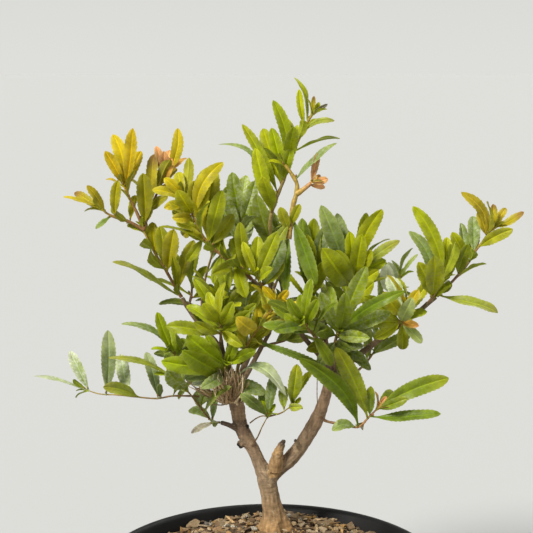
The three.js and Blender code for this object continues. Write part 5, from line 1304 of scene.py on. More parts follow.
# Leaves that only the finished tree has, so that its crown is as thick as in the photograph, by shoot,
# written as the placed leaves are
MORE_LEAVES = {
    "left_leader": [
        [0, 158, 258, 152, 222, -6, 1.3, 0.05, 0], [3, 160, 186, 172, 158, -10, 1.5, 0.08, 10],
        [3, 158, 190, 150, 170, 0, 1.2, 0.08, 0], [3, 149, 212, 168, 196, -12, 1.2, 0.1, 20],
        [0, 165, 268, 160, 226, -14, 1.4, 0.05, 0], [3, 145, 224, 152, 204, -14, 1.0, 0.05, 0],
        [3, 165, 180, 164, 151, -12, 1.3, 0.05, 10],
    ],
    "diagonal": [
        [0, 185, 198, 152, 190, -28, 1.2, 0.1, 40], [0, 193, 215, 177, 190, -34, 1.6, 0.08, 0],
        [0, 200, 232, 206, 168, -26, 1.3, 0.06, 0], [0, 222, 255, 228, 292, -36, 1.3, 0.1, 0],
        [0, 234, 263, 246, 298, -38, 1.3, 0.1, 0], [0, 234, 263, 212, 274, -42, 1.2, 0.1, 10],
        [0, 211, 247, 233, 214, -16, 1.3, 0.06, 0], [0, 244, 271, 232, 238, -14, 1.3, 0.06, 0],
        [0, 196, 220, 183, 236, -16, 1.3, 0.1, 0], [0, 222, 255, 206, 222, -14, 1.2, 0.06, 0],
        [0, 208, 243, 213, 166, -24, 1.5, 0.06, 0], [0, 192, 212, 169, 202, -30, 1.3, 0.1, 10],
        [0, 197, 223, 172, 211, -28, 1.4, 0.1, 10], [0, 200, 230, 176, 223, -31, 1.2, 0.1, 20],
        [0, 206, 241, 186, 228, -28, 1.2, 0.1, 10],
    ],
    "diagonal_low": [
        [0, 262, 286, 272, 240, -22, 1.4, 0.06, 0], [0, 262, 286, 248, 310, -30, 1.3, 0.1, 0],
        [0, 264, 289, 284, 262, -26, 1.2, 0.06, 10], [0, 256, 276, 258, 236, -24, 1.3, 0.05, 0],
        [0, 267, 292, 283, 240, -27, 1.5, 0.05, 0],
    ],
    "centre_back_b": [
        [0, 280, 262, 250, 206, 20, 1.3, 0.06, 0], [0, 281, 256, 270, 210, 30, 1.3, 0.06, 0],
        [0, 280, 262, 256, 194, 18, 1.3, 0.06, 0],
    ],
    "centre_back_a": [
        [0, 239, 238, 256, 213, 26, 1.3, 0.05, 0], [0, 238, 250, 252, 222, 28, 1.3, 0.05, 0],
    ],
    "riser": [
        [0, 289, 232, 280, 207, -20, 1.3, 0.05, 0], [0, 291, 228, 300, 204, -18, 1.1, 0.05, 0],
        [0, 289, 234, 286, 294, -25, 1, 0.06, 0],
    ],
    "riser_top": [
        [0, 272, 212, 262, 176, -14, 1.3, 0.05, 0], [0, 283, 182, 292, 146, -8, 1.2, 0.05, 0],
    ],
    "right_inner": [
        [0, 313, 300, 314, 218, 4, 1.2, 0.05, 0], [0, 324, 338, 306, 350, -24, 1.3, 0.12, 10],
        [0, 320, 328, 340, 300, -16, 1.4, 0.08, 0], [0, 313, 300, 302, 218, 0, 1.2, 0.05, 0],
    ],
    "right_crown": [
        [0, 354, 278, 386, 260, -4, 1.4, 0.08, 10], [0, 346, 304, 374, 282, -20, 1.4, 0.08, 10],
        [0, 352, 284, 362, 234, -16, 1.3, 0.06, 0], [0, 350, 290, 336, 250, -14, 1.4, 0.06, 0],
        [0, 350, 292, 379, 270, -8, 1.4, 0.08, 10],
    ],
    "right_rosette": [
        [0, 335, 341, 316, 368, -30, 1.3, 0.12, 0], [0, 334, 345, 344, 380, -28, 1.2, 0.12, 0],
        [0, 336, 338, 376, 322, -22, 1.3, 0.1, 10],
        [0, 334, 345, 366, 360, -22, 1.2, 0.14, 10], [0, 335, 341, 364, 346, -30, 1.3, 0.12, 10],
        [0, 334, 346, 371, 370, -20, 1.0, 0.1, 20],
    ],
    "front_right": [
        [0, 312, 334, 332, 366, -48, 1.2, 0.14, 10], [0, 309, 330, 284, 314, -58, 1.3, 0.1, 0],
    ],
    "front_left": [
        [0, 221, 334, 166, 326, -36, 1.2, 0.12, 20], [0, 220.5, 331, 243, 346, -44, 1.3, 0.14, 0],
    ],
    "crown_front": [
        [0, 229, 380, 208, 405, -14, 1.2, 0.12, 20], [0, 228, 376, 182, 350, -44, 1.5, 0.1, 0],
        [0, 226, 364, 236, 338, -30, 1.3, 0.08, 0], [0, 231, 386, 266, 394, -18, 1.5, 0.2, 30],
    ],
    "right_back_out": [[0, 391, 295, 386, 264, 36, 1.5, 0.05, 0]],
    "right_branch_low": [
        [0, 403, 318, 397, 278, -4, 1.4, 0.06, 0], [0, 398, 326, 364, 296, -20, 1.3, 0.08, 10],
        [0, 398, 326, 374, 338, -22, 1.3, 0.12, 10], [0, 400, 323, 419, 326, -26, 1.1, 0.1, 20],
    ],
    "right_branch_mid": [
        [0, 432, 298, 418, 262, -26, 1.4, 0.06, 0], [0, 438, 289, 456, 252, -18, 1.3, 0.06, 0],
    ],
    "right_tip": [[0, 469, 262, 452, 232, -22, 1.2, 0.06, 0], [0, 486, 237, 478, 211, -20, 1.1, 0.06, 0]],
    "low_right": [[0, 370, 416, 371, 386, -30, 1.1, 0.05, 0], [0, 376, 409, 408, 398, -34, 1.1, 0.1, 20]],
    "low_twig": [[0, 200, 407, 208, 386, -16, 1.2, 0.08, 0], [0, 190, 394, 172, 376, -22, 1.4, 0.08, 10]],
}

# How many of the small leaves some shoots have, beside the usual
FEWER = {
    "low_left": 0, "low_twig": 0.2, "low_right": 0, "low_centre": 0, "riser": 0.1, "riser_top": 0.45,
    "left_leader": 0.35, "right_tip": 0.45, "left_crown": 0.5, "back_low": 0.5, "back_right_low": 0.5,
    "right_back_out": 0.5,
}
# Leaves that curve sideways in the picture: how many pixels right and down the middle of the leaf is drawn,
# by shoot and number. The numbers of a shoot count its traced leaves, and then on through MORE_LEAVES.
DRAWN = {
    ("riser_top", 5): (4, -1), ("riser_top", 0): (2, 0), ("riser_top", 10): (0, -4), ("riser", 2): (2, 5),
    ("right_branch_mid", 1): (7, -4), ("right_tip", 0): (8, -3), ("right_crown", 0): (-6, -3),
    ("diagonal", 4): (-5, -4), ("left_leader", 0): (-2, 3), ("right_tip", 7): (2, 5),
    ("low_right", 3): (-2, -2), ("low_right", 4): (0, 6), ("low_right", 1): (12, -8),
    ("left_leader", 12): (3, 0), ("left_leader", 18): (4, 1), ("riser_top", 1): (8, -11),
    ("riser_top", 2): (3, 2), ("left_crown", 0): (3, -4), ("low_centre", 0): (-2, -5),
    ("low_twig", 2): (2, -5), ("low_right", 0): (0, -4), ("centre_yellow", 8): (-3, -2),
    ("right_tip", 2): (0, 3), ("right_branch_mid", 0): (6, -6),
}
# The small leaves in the angles of the stems: the step along a stem in millimetres and the tries for each,
# how long they are beside the shoot's usual leaf, their angle to the stem in degrees, and how they turn.
# Each keeps its room in millimetres from all the others, past the crowded share of its length at its root.
AXIL_LEAF = {
    "step": 4.2, "tries": 2, "end": 0.98, "length": (0.34, 0.62), "open": (28, 66), "lift": 0.25,
    "roll_spread": 0.8, "width": 1.25, "bow": 0.07, "room": 2.1, "crowded": 0.35,
}
# The places over a leaf that take up room: rows along it, shares of its half width across it, and the taper
ROOM_PLACES = {"along": 7, "across": (-0.7, 0, 0.7), "taper": 1.3}
# Directions to turn from, which no stem or leaf runs along
ASIDE = {"axil": (0.2, 0.1, 1), "tip": (0.3, 1, 0.2), "bud": (0.1, 0.2, 1)}


class Crowd:
    """The room that leaves take up, as points kept by the cells of a grid."""

    def __init__(self, gap):
        self.gap = gap
        self.cells = {}

    def cell(self, point):
        return tuple(np.floor(point / self.gap).astype(int))

    def add(self, leaf):
        for point in self.points(leaf):
            self.cells.setdefault(self.cell(point), []).append(point)

    def clear(self, leaf):
        """Whether a leaf keeps out of the gaps and at its distance from all the others."""
        points = self.points(leaf)
        pixels = pixels_of(points)
        for x, y, radius in GAPS:
            if (np.hypot(pixels[:, 0] - x, pixels[:, 1] - y) < radius).any():
                return False
        for point in points:
            x, y, z = self.cell(point)
            for cell in itertools.product((x - 1, x, x + 1), (y - 1, y, y + 1), (z - 1, z, z + 1)):
                if any(np.linalg.norm(point - other) < self.gap for other in self.cells.get(cell, ())):
                    return False
        return True

    def points(self, leaf):
        """Places over a leaf, past the crowded part near its root."""
        side = np.cross(leaf.face, leaf.chord)
        found = []
        for share in np.linspace(AXIL_LEAF["crowded"], 1, ROOM_PLACES["along"]):
            arch = leaf.bow * leaf.length * hump(share)
            middle = leaf.root + leaf.chord * share * leaf.length + leaf.face * arch
            reach = leaf.half_width * (ROOM_PLACES["taper"] - share)
            found += [middle + side * reach * across for across in ROOM_PLACES["across"]]
        return found


def axil_leaves(shoot, routes, draw, crowd, many):
    """Small leaves all along the stems, wherever they are clear of the others."""
    leaves = []
    for stem, route in enumerate(routes):
        start = leafy_from(route, stem)
        tries = round(many * route.length * (1 - start) / AXIL_LEAF["step"]) * AXIL_LEAF["tries"]
        for i in range(tries):
            share = mix(start, AXIL_LEAF["end"], (i + draw.share()) / tries)
            length = shoot["leaf_length"] * draw.between(*AXIL_LEAF["length"])
            opened = math.radians(draw.between(*AXIL_LEAF["open"]))
            root, along = route.at(share), route.direction(share)
            out = turned(unit(np.cross(ASIDE["axil"], along)), along, math.radians(SPIRAL["turn"] * i))
            chord = along * math.cos(opened) + out * math.sin(opened)
            chord = unit(chord + np.array([0, 0, AXIL_LEAF["lift"]]))
            roll = draw.spread(AXIL_LEAF["roll_spread"])
            face = turned(unit(along - chord * along.dot(chord)), chord, roll)
            tip = root + chord * length
            leaf = Leaf(root, tip, face, AXIL_LEAF["width"], AXIL_LEAF["bow"], (stem, share))
            if crowd.clear(leaf):
                crowd.add(leaf)
                leaves.append(leaf)
    return leaves


def all_leaves():
    """The leaves of every shoot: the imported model's, the traced ones that fill it, and the small ones."""
    grown, crowd = {}, Crowd(AXIL_LEAF["room"])
    for order, (name, shoot) in enumerate(SHOOTS.items()):
        routes = stem_routes(shoot)
        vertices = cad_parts["shoot_" + name].data.vertices
        corners = searchable([vertex.co / MM for vertex in vertices])
        placed = placed_leaves(shoot["leaves"], routes)
        more = placed_leaves(MORE_LEAVES.get(name, []), routes)
        for number, leaf in enumerate(placed + more):
            right, down = DRAWN.get((name, number), (0, 0))
            leaf.drawn = np.array([right, 0, -down]) * PIXEL
            leaf.odd = odd_look(name, number)
            leaf.half_width *= SLIM.get((name, number), 1)
        packed = [as_packed(leaf, corners, 1) for leaf in placed]
        spiral = spiral_leaves(shoot, routes, Draw("spiral", order))
        packed += [as_packed(leaf, corners, SPIRAL_SWING) for leaf in spiral]
        grown[name] = [leaf for leaf in packed if leaf] + more
        for leaf in grown[name]:
            crowd.add(leaf)
    for order, (name, shoot) in enumerate(SHOOTS.items()):
        draw = Draw("axil", order)
        grown[name] += axil_leaves(shoot, stem_routes(shoot), draw, crowd, FEWER.get(name, 1))
    return grown


YOUNG_STEM, NEW_STEM, BUD_BROWN = shade("#77593a"), shade("#9a6f3c"), shade("#8a6238")
# The colour of the stems of some shoots at their foot, where it isn't the usual one
STEM_COLOURS = {
    "riser": shade("#a98a3c"), "centre_yellow": shade("#8f7838"), "left_leader": shade("#85603a"),
    "diagonal": shade("#8a5f38"), "riser_top": shade("#8c7a44"),
}
# How stout the stems of some shoots are beside the usual
STOUT = {
    "riser": 1.9, "riser_top": 1.3, "diagonal": 1.3, "centre_yellow": 1.2, "left_leader": 1.1,
    "low_centre": 0.6, "low_left": 0.7, "low_twig": 0.75,
}
# The tubes of young stems: steps in millimetres and sides, the taper beside their traced radius, how far and
# how often they swell, and from where and how far they take on the colour of their new growth
STEM_TUBE = {
    "step": 2, "fewest": 4, "sides": 8, "taper": (0.85, 0.65), "swell": 0.1, "waves": 0.9,
    "flush_from": 0.2, "flush": 0.4,
}
# The small leaves that are opening at the end of a stem: the length in millimetres and the angle to the stem
# in degrees that the first one has, and those that the others come towards, and how much of the flush is in
# their darkest colour
NEW_LEAF = {
    "count": 4, "from": 0.985, "length": (12, 5), "scale": (0.8, 1.15), "open": (48, 12),
    "turn_spread": 30, "width": 0.8, "bow": 0.1, "darkest": 0.7,
}
# The bud in the angle of a leaf: where it stands along the leaf and above it, its length, radius and sunk
# foot, all in millimetres, how far it leans away from the leaf, its rings as shares of its length and
# radius, and how green it may be
BUD = {
    "along": 1.3, "above": 0.5, "lean": 0.9, "length": 1.7, "radius": 0.55, "foot": 0.4,
    "sides": 5, "rings": ((0.1, 0.8), (0.4, 1), (0.75, 0.6)), "scale": (0.8, 1.3), "green": 0.6,
}


def leaf_look(name, leaf, look):
    """The darkest and lightest colour of a leaf, its painted sheen, and the colour of its tip if that
    differs.
    """
    if leaf.odd:
        colour, tip, painted_sheen = leaf.odd
        return colour, colour, painted_sheen, tip
    stem, share = leaf.place
    newness = smooth(FLUSH_FROM.get((name, stem), USUAL_FLUSH_FROM), 1, share)
    high = mix(look["high"], FLUSH.get((name, stem), look["high"]), newness)
    low = mix(look["low"], high, mix(*EVENED, newness))
    # Leaves low on the stem, and those of inner and rear shoots, are darker as painted shade; low ones are
    # older growth too
    aged_and_shaded = mix(*AGE_AND_SHADE["light"], smooth(0, AGE_AND_SHADE["end"], share)) * LIGHTNESS.get(name, 1)
    return low * aged_and_shaded, high * aged_and_shaded, SHOOT_PAINTED_SHEEN.get(name, USUAL_PAINTED_SHEEN), None


def build_shoot(name, order, grown, materials):
    """A leafy shoot: its leaves as one piece, and its stems with their buds as another."""
    shoot = SHOOTS[name]
    look = LOOKS[shoot["look"]]
    draw = Draw("shoot", order)
    leaves, stems = Skin(), Skin()
    for leaf in grown:
        low, high, painted_sheen, tip = leaf_look(name, leaf, look)
        grow_leaf(leaves, leaf, draw, low, high, painted_sheen, tip)
        grow_bud(stems, leaf, draw)
    for stem, route in enumerate(stem_routes(shoot)):
        flush = FLUSH.get((name, stem), look["high"])
        grow_tip(leaves, route, stem, draw, flush)
        low = STEM_COLOURS.get(name, YOUNG_STEM)
        grow_stem(stems, route, 0 if stem else stem_start(route), low, flush, STOUT.get(name, 1))
    leafy = leaves.piece(name + "_leaves", materials[look["slot"]], look["slot"])
    woody = stems.piece(name + "_stems", materials["stem"], "bark", 60)
    for piece in (leafy, woody):
        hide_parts("shoot_" + name)


def grow_tip(skin, route, stem, draw, colour):
    """Adds the small leaves that are opening at the end of a stem."""
    along = route.direction(1)
    root = route.at(NEW_LEAF["from"])
    sideways = unit(np.cross(along, ASIDE["tip"]))
    for i in range(NEW_LEAF["count"]):
        inward = i / NEW_LEAF["count"]
        opened = math.radians(mix(*NEW_LEAF["open"], inward))
        turn = SPIRAL["turn"] * i + draw.spread(NEW_LEAF["turn_spread"])
        out = turned(sideways, along, math.radians(turn))
        chord = along * math.cos(opened) + out * math.sin(opened)
        length = mix(*NEW_LEAF["length"], inward) * draw.between(*NEW_LEAF["scale"])
        face = unit(along - chord * along.dot(chord))
        leaf = Leaf(root, root + chord * length, face, NEW_LEAF["width"], NEW_LEAF["bow"], (stem, 1))
        grow_leaf(skin, leaf, draw, mix(GREEN, colour, NEW_LEAF["darkest"]), colour, 0)


def grow_stem(skin, route, start, low, flush, stout):
    """Adds a young stem, brown below and greener or redder towards its end."""
    steps = max(STEM_TUBE["fewest"], round(route.length * (1 - start) / STEM_TUBE["step"]))
    shares = even_shares(steps, start)
    swell = 1 + STEM_TUBE["swell"] * np.sin(shares * route.length * STEM_TUBE["waves"])
    radii = stout * route.radius(shares) * mix(*STEM_TUBE["taper"], shares) * swell
    end = mix(NEW_STEM, flush, STEM_TUBE["flush"])
    colours = mix(low, end, smooth(STEM_TUBE["flush_from"], 1, shares)[:, None])
    ring_tube(skin, route, shares, radii, STEM_TUBE["sides"], np.insert(colours, 3, 1, axis=1))


def grow_bud(skin, leaf, draw):
    """Adds the small bud in the angle between a leaf's stalk and its stem."""
    scale = draw.between(*BUD["scale"])
    root = leaf.root + leaf.chord * BUD["along"] + leaf.face * BUD["above"]
    way = unit(leaf.chord + leaf.face * BUD["lean"])
    side = unit(np.cross(way, ASIDE["bud"]))
    other = np.cross(way, side)
    sides = BUD["sides"]
    corners = [[root - way * BUD["foot"]]]
    for share, reach in BUD["rings"]:
        middle = root + way * BUD["length"] * scale * share
        corners.append(ring(middle, side, other, reach * BUD["radius"] * scale, sides))
    corners.append([root + way * BUD["length"] * scale])
    pairs = [(k, (k + 1) % sides) for k in range(sides)]
    last = 1 + sides * (len(BUD["rings"]) - 1)
    faces = [(0, 1 + j, 1 + k) for k, j in pairs]
    for lower in range(1, last, sides):
        faces += [(lower + k, lower + j, lower + sides + j, lower + sides + k) for k, j in pairs]
    faces += [(last + k, last + j, last + sides) for k, j in pairs]
    colour = mix(BUD_BROWN, GREEN, draw.share() * BUD["green"])
    skin.add(np.concatenate(corners), faces, np.append(colour, 1))


# Dry flower stalks left at the head of the left limb: the pixel and depth where each bunch stands, the
# pixel and depth that it reaches for, and its number of stalks
DRY_STALKS = [
    ((232, 401, -15), (231, 362, -31), 16), ((228, 401, -16), (221, 364, -33), 16),
    ((224, 400, -16), (211, 371, -35), 14), ((221, 399, -14), (203, 383, -34), 9),
    ((235, 401, -14), (240, 365, -29), 14), ((238, 400, -12), (248, 377, -24), 8),
    ((219, 400, -12), (184, 376, -30), 14),
]
# A stalk's radius and taper, how far its foot, its head and its middle stray in millimetres, the share of
# the way to its head that it reaches, and its tube
STALK = {
    "radius": 0.55, "taper": (1.15, 0.35), "scale": (0.8, 1.3), "foot_spread": (4, 3, 4), "spread": 8,
    "bend": 5, "length": (0.45, 0.88), "light": (0.7, 1.2), "steps": 7, "sides": 6,
    "colours": ("#d8bd94", "#bb9d74", "#e8d2ac", "#92775a", "#a98d68"),
}
# Bare twigs and strands, as pixel routes with depth and radius
BARE_TWIGS = [
    [(250, 423, -4, 0.45), (256, 418.5, -8, 0.4), (262, 416, -12, 0.38), (268, 416.5, -17, 0.38)],
    [(317.5, 404, -5, 0.3), (317, 394, -9, 0.28), (317.2, 380, -12, 0.25)],
    [(221, 399, -8, 0.5), (207, 394, -12, 0.42), (196, 388, -15, 0.35), (186, 380, -16, 0.3)],
    [(233, 402, -7, 0.5), (222, 405, -11, 0.4), (212, 404, -14, 0.32)],
    [(331, 352, -6, 0.6), (327, 340, -16, 0.5), (326, 329, -22, 0.4)],
    [(334, 350, -7, 0.6), (343, 343, -16, 0.5), (352, 341, -22, 0.4)],
]
# The tube of a bare twig, how far and how often it swells, and its colour
TWIG = {"steps": 12, "sides": 7, "swell": 0.12, "waves": 40, "colour": "#8a7355"}


def build_bare_twigs(material):
    """The pale dry stalks in their bunches, thin and bent, and the bare twigs and strands."""
    skin = Skin()
    draw = Draw("stalks")
    shares = even_shares(STALK["steps"])
    for base, head, count in DRY_STALKS:
        for _ in range(count):
            start = spot(*base) + [draw.spread(reach) for reach in STALK["foot_spread"]]
            end = spot(*head) + [draw.spread(STALK["spread"]) for _ in range(3)]
            end = mix(start, end, draw.between(*STALK["length"]))
            bend = [draw.spread(STALK["bend"]) for _ in range(3)]
            places = [start, mix(start, end, 0.5) + bend, end]
            tint = np.append(shade(draw.one_of(STALK["colours"])) * draw.between(*STALK["light"]), 1)
            radii = STALK["radius"] * mix(*STALK["taper"], shares) * draw.between(*STALK["scale"])
            ring_tube(skin, Route(places, radii[:3]), shares, radii, STALK["sides"], tint)
    shares = even_shares(TWIG["steps"])
    for points in BARE_TWIGS:
        route = traced(points)
        radii = route.radius(shares) * (1 + TWIG["swell"] * np.sin(shares * TWIG["waves"]))
        ring_tube(skin, route, shares, radii, TWIG["sides"], colour4(TWIG["colour"]))
    piece = skin.piece("bare_twigs", material, "bark", 60)
    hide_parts("trunk_and_limbs")


# How the pan's edges are rounded, in millimetres outward and up: at its foot, under its lip and over it
ROUNDED = {
    "foot": ((-4, 0), (-1.4, 0.05), (-0.4, 0.5), (0, 1.5)),
    "under_lip": ((-1.6, 0), (-0.5, 0.4), (0, 1.5)),
    "lip": ((0, -2.8), (-0.25, -1.3), (-0.9, -0.35), (-1.9, 0), (-3.2, -0.1), (-4.4, -0.6)),
}
# Heights in millimetres at which the profile of the pan has a corner, outside and inside its wall
PAN_LEVELS = {"outside": (30, 60), "inside": (70, 30, 5)}
PAN_SEGMENTS = 160
DRILL_SEGMENTS = 32


def outer_radius(height):
    """The radius of the pan's outer wall at a height."""
    slope = (PAN["rim_radius"] - PAN["lip_reach"] - PAN["foot_radius"]) / PAN["height"]
    return PAN["foot_radius"] + slope * height


def inner_radius(height):
    return outer_radius(height) - PAN["wall"]


def pan_profile():
    """The pan's radius and height, from the middle of its foot over its rim to the middle of its floor."""
    height, rim, foot, floor = PAN["height"], PAN["rim_radius"], PAN["foot_radius"], PAN["floor"]
    under = height - PAN["lip"]
    return [
        (0, 0), *[(foot + out, up) for out, up in ROUNDED["foot"]],
        *[(outer_radius(level), level) for level in (*PAN_LEVELS["outside"], under - 2)],
        (outer_radius(under) + 0.3, under - 0.6),
        *[(rim + out, under + up) for out, up in ROUNDED["under_lip"]],
        *[(rim + out, height + up) for out, up in ROUNDED["lip"]],
        (inner_radius(height - 2), height - 2.2),
        *[(inner_radius(level), level) for level in PAN_LEVELS["inside"]],
        (inner_radius(floor) - 1.5, floor + 0.2), (inner_radius(floor) - 3, floor), (0, floor),
    ]


def as_mesh(name, shape):
    """The mesh of a shape that was built for it. The shape is freed."""
    mesh = bpy.data.meshes.new(name)
    shape.to_mesh(mesh)
    shape.free()
    return mesh


def lathed(profile, segments):
    """A profile turned round the upright axis, with both its ends on the axis."""
    shape = bmesh.new()
    angles = np.arange(segments) * 2 * math.pi / segments
    rings = []
    for radius, z in profile:
        turns = angles if radius else [0]
        rings.append([
            shape.verts.new((radius * MM * math.cos(a), radius * MM * math.sin(a), z * MM)) for a in turns
        ])
    for lower, upper in zip(rings, rings[1:]):
        for i in range(segments):
            j = (i + 1) % segments
            ends = [lower[i % len(lower)], lower[j % len(lower)]]
            ends += [upper[j % len(upper)], upper[i % len(upper)]]
            shape.faces.new(list(dict.fromkeys(ends)))
    return shape


def build_pan(material):
    """The pan: a moulded wall with a rolled lip and drain holes, its edges rounded."""
    wall = linked("pan_wall", as_mesh("pan_wall", lathed(pan_profile(), PAN_SEGMENTS)))
    drills = []
    for i in range(DRAIN["count"]):
        angle = 2 * math.pi * (i + 0.5) / DRAIN["count"]
        across, along = DRAIN["circle"] * math.cos(angle), DRAIN["circle"] * math.sin(angle)
        place = Vector((across, along, PAN["floor"] / 2)) * MM
        drill = bmesh.new()
        bmesh.ops.create_cone(drill, cap_ends=True, segments=DRILL_SEGMENTS, radius1=DRAIN["radius"] * MM,
                              radius2=DRAIN["radius"] * MM, depth=3 * PAN["floor"] * MM,
                              matrix=Matrix.Translation(place))
        drills.append(linked("drill", as_mesh("drill", drill)))
        wall.modifiers.new("hole", "BOOLEAN").object = drills[-1]
    piece = finish_piece("nursery_pan", baked("nursery_pan", wall, drills), material, 40)
    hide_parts("pan")


# Chips of bark, baked clay and grit: their share, their length, width and thickness in millimetres, how far
# these vary, and their colours
CHIP_KINDS = [
    {"share": 0.42, "size": (10, 6.6, 2.6), "spread": 0.45,
     "colours": ("#9a8262", "#7d6346", "#b39c7c", "#6b563e")},
    {"share": 0.34, "size": (5, 4, 3), "spread": 0.4,
     "colours": ("#a5814f", "#94703e", "#b09670", "#85704d")},
    {"share": 0.16, "size": (4.5, 3.6, 2.8), "spread": 0.35,
     "colours": ("#857f76", "#a39c8e", "#6b655c", "#bdb5a3")},
    {"share": 0.08, "size": (14, 1.8, 1.2), "spread": 0.3, "colours": ("#8c6d4a", "#b39468", "#6a5138")},
]
# How the chips lie: their pitch, how far they keep from the wall and how far they stray in millimetres, the
# golden angle, how much of its thickness a chip stands above the soil, and where the trunk's radius is taken
CHIPS = {
    "pitch": 4.1, "edge": 3, "stray": 2.5, "turn": 137.508, "above": 0.25, "trunk_share": 0.3,
    "scale": (0.8, 1.2), "light": (0.5, 1.1),
}
# The finer grit between the chips: its number, its size beside theirs, and how much higher it lies
GRIT = {"count": 1500, "scale": 0.45, "above": 0.6}
# A chip's shape: its corners, how far out of its middle they stand, and how far it is tilted in radians
CHIP_SHAPE = {"corners": 11, "reach": (0.75, 1), "shortest": 0.2, "tilt": 0.9}
# The waves that make the soil lumpy, in radians a millimetre, and the depth and pace at which they bend
SOIL_WAVES = {"x": 0.71, "y": 0.63, "x_bend": (1.9, 0.33), "y_bend": (1.3, 0.41)}


def soil_height(x, y):
    """The height of the soil: a mound at the trunk, lumpy with chips."""
    heart = WOOD_ROUTES["trunk"].at(0)
    away = ((x - heart[0]) ** 2 + (y - heart[1]) ** 2) / (2 * SOIL["spread"] ** 2)
    (deep, pace), (cross_deep, cross_pace) = SOIL_WAVES["x_bend"], SOIL_WAVES["y_bend"]
    lumps = math.sin(SOIL_WAVES["x"] * x + deep * math.sin(pace * y))
    lumps += math.cos(SOIL_WAVES["y"] * y + cross_deep * math.sin(cross_pace * x))
    return SOIL["edge"] + SOIL["crown"] + SOIL["mound"] * math.exp(-away) + SOIL["lump"] * lumps


def add_chip(skin, draw, place, size, tint):
    """Adds an angular chip: the hull of a few corners on a flattened ball."""
    hull = bmesh.new()
    for _ in range(CHIP_SHAPE["corners"]):
        point = Vector((draw.spread(2), draw.spread(2), draw.spread(2)))
        point = point / max(point.length, CHIP_SHAPE["shortest"]) * draw.between(*CHIP_SHAPE["reach"])
        hull.verts.new(Vector(point[i] * size[i] / 2 for i in range(3)))
    made = bmesh.ops.convex_hull(hull, input=hull.verts)
    loose = [item for item in made["geom_interior"] if isinstance(item, bmesh.types.BMVert)]
    bmesh.ops.delete(hull, geom=loose, context="VERTS")
    turn = Matrix.Rotation(draw.between(0, TURN), 3, "Z")
    for axis in "XY":
        turn = turn @ Matrix.Rotation(draw.spread(CHIP_SHAPE["tilt"]), 3, axis)
    hull.verts.index_update()
    corners = [np.array(turn @ vertex.co) + place for vertex in hull.verts]
    faces = [[vertex.index for vertex in face.verts] for face in hull.faces]
    hull.free()
    # A hull with fewer faces isn't closed
    if len(faces) > 3:
        skin.add(corners, faces, tint)


def chip_kind(pick):
    """The kind of chip that a number from 0 to 1 picks, by their shares."""
    for kind in CHIP_KINDS:
        pick -= kind["share"]
        if pick < 0:
            break
    return kind


def build_chips(material):
    """The loose chips that cover the soil, evenly spread by the golden angle, with finer grit between."""
    skin = Skin()
    draw = Draw("chips")
    reach = inner_radius(SOIL["edge"]) - CHIPS["edge"]
    trunk = WOOD_ROUTES["trunk"]
    heart = trunk.at(CHIPS["trunk_share"])
    count = round(math.pi * reach ** 2 / CHIPS["pitch"] ** 2)
    for i in range(count + GRIT["count"]):
        fine = i >= count
        share = (i - count + 0.5) / GRIT["count"] if fine else (i + 0.5) / count
        radius = math.sqrt(share) * reach
        angle = i * math.radians(CHIPS["turn"])
        x = radius * math.cos(angle) + draw.spread(CHIPS["stray"])
        y = radius * math.sin(angle) + draw.spread(CHIPS["stray"])
        kind = chip_kind(draw.share())
        scale = draw.between(1 - kind["spread"], 1 + kind["spread"]) * (GRIT["scale"] if fine else 1)
        size = [part * scale * draw.between(*CHIPS["scale"]) for part in kind["size"]]
        tint = np.append(shade(draw.one_of(kind["colours"])) * draw.between(*CHIPS["light"]), 1)
        gap = math.hypot(x - heart[0], y - heart[1])
        if gap < trunk.radius(CHIPS["trunk_share"]) or math.hypot(x, y) > reach:
            continue
        z = soil_height(x, y) + size[2] * CHIPS["above"] + (GRIT["above"] if fine else 0)
        add_chip(skin, draw, np.array([x, y, z]), size, tint)
    return skin.piece("soil_chips", material, "soil_chips", 20)


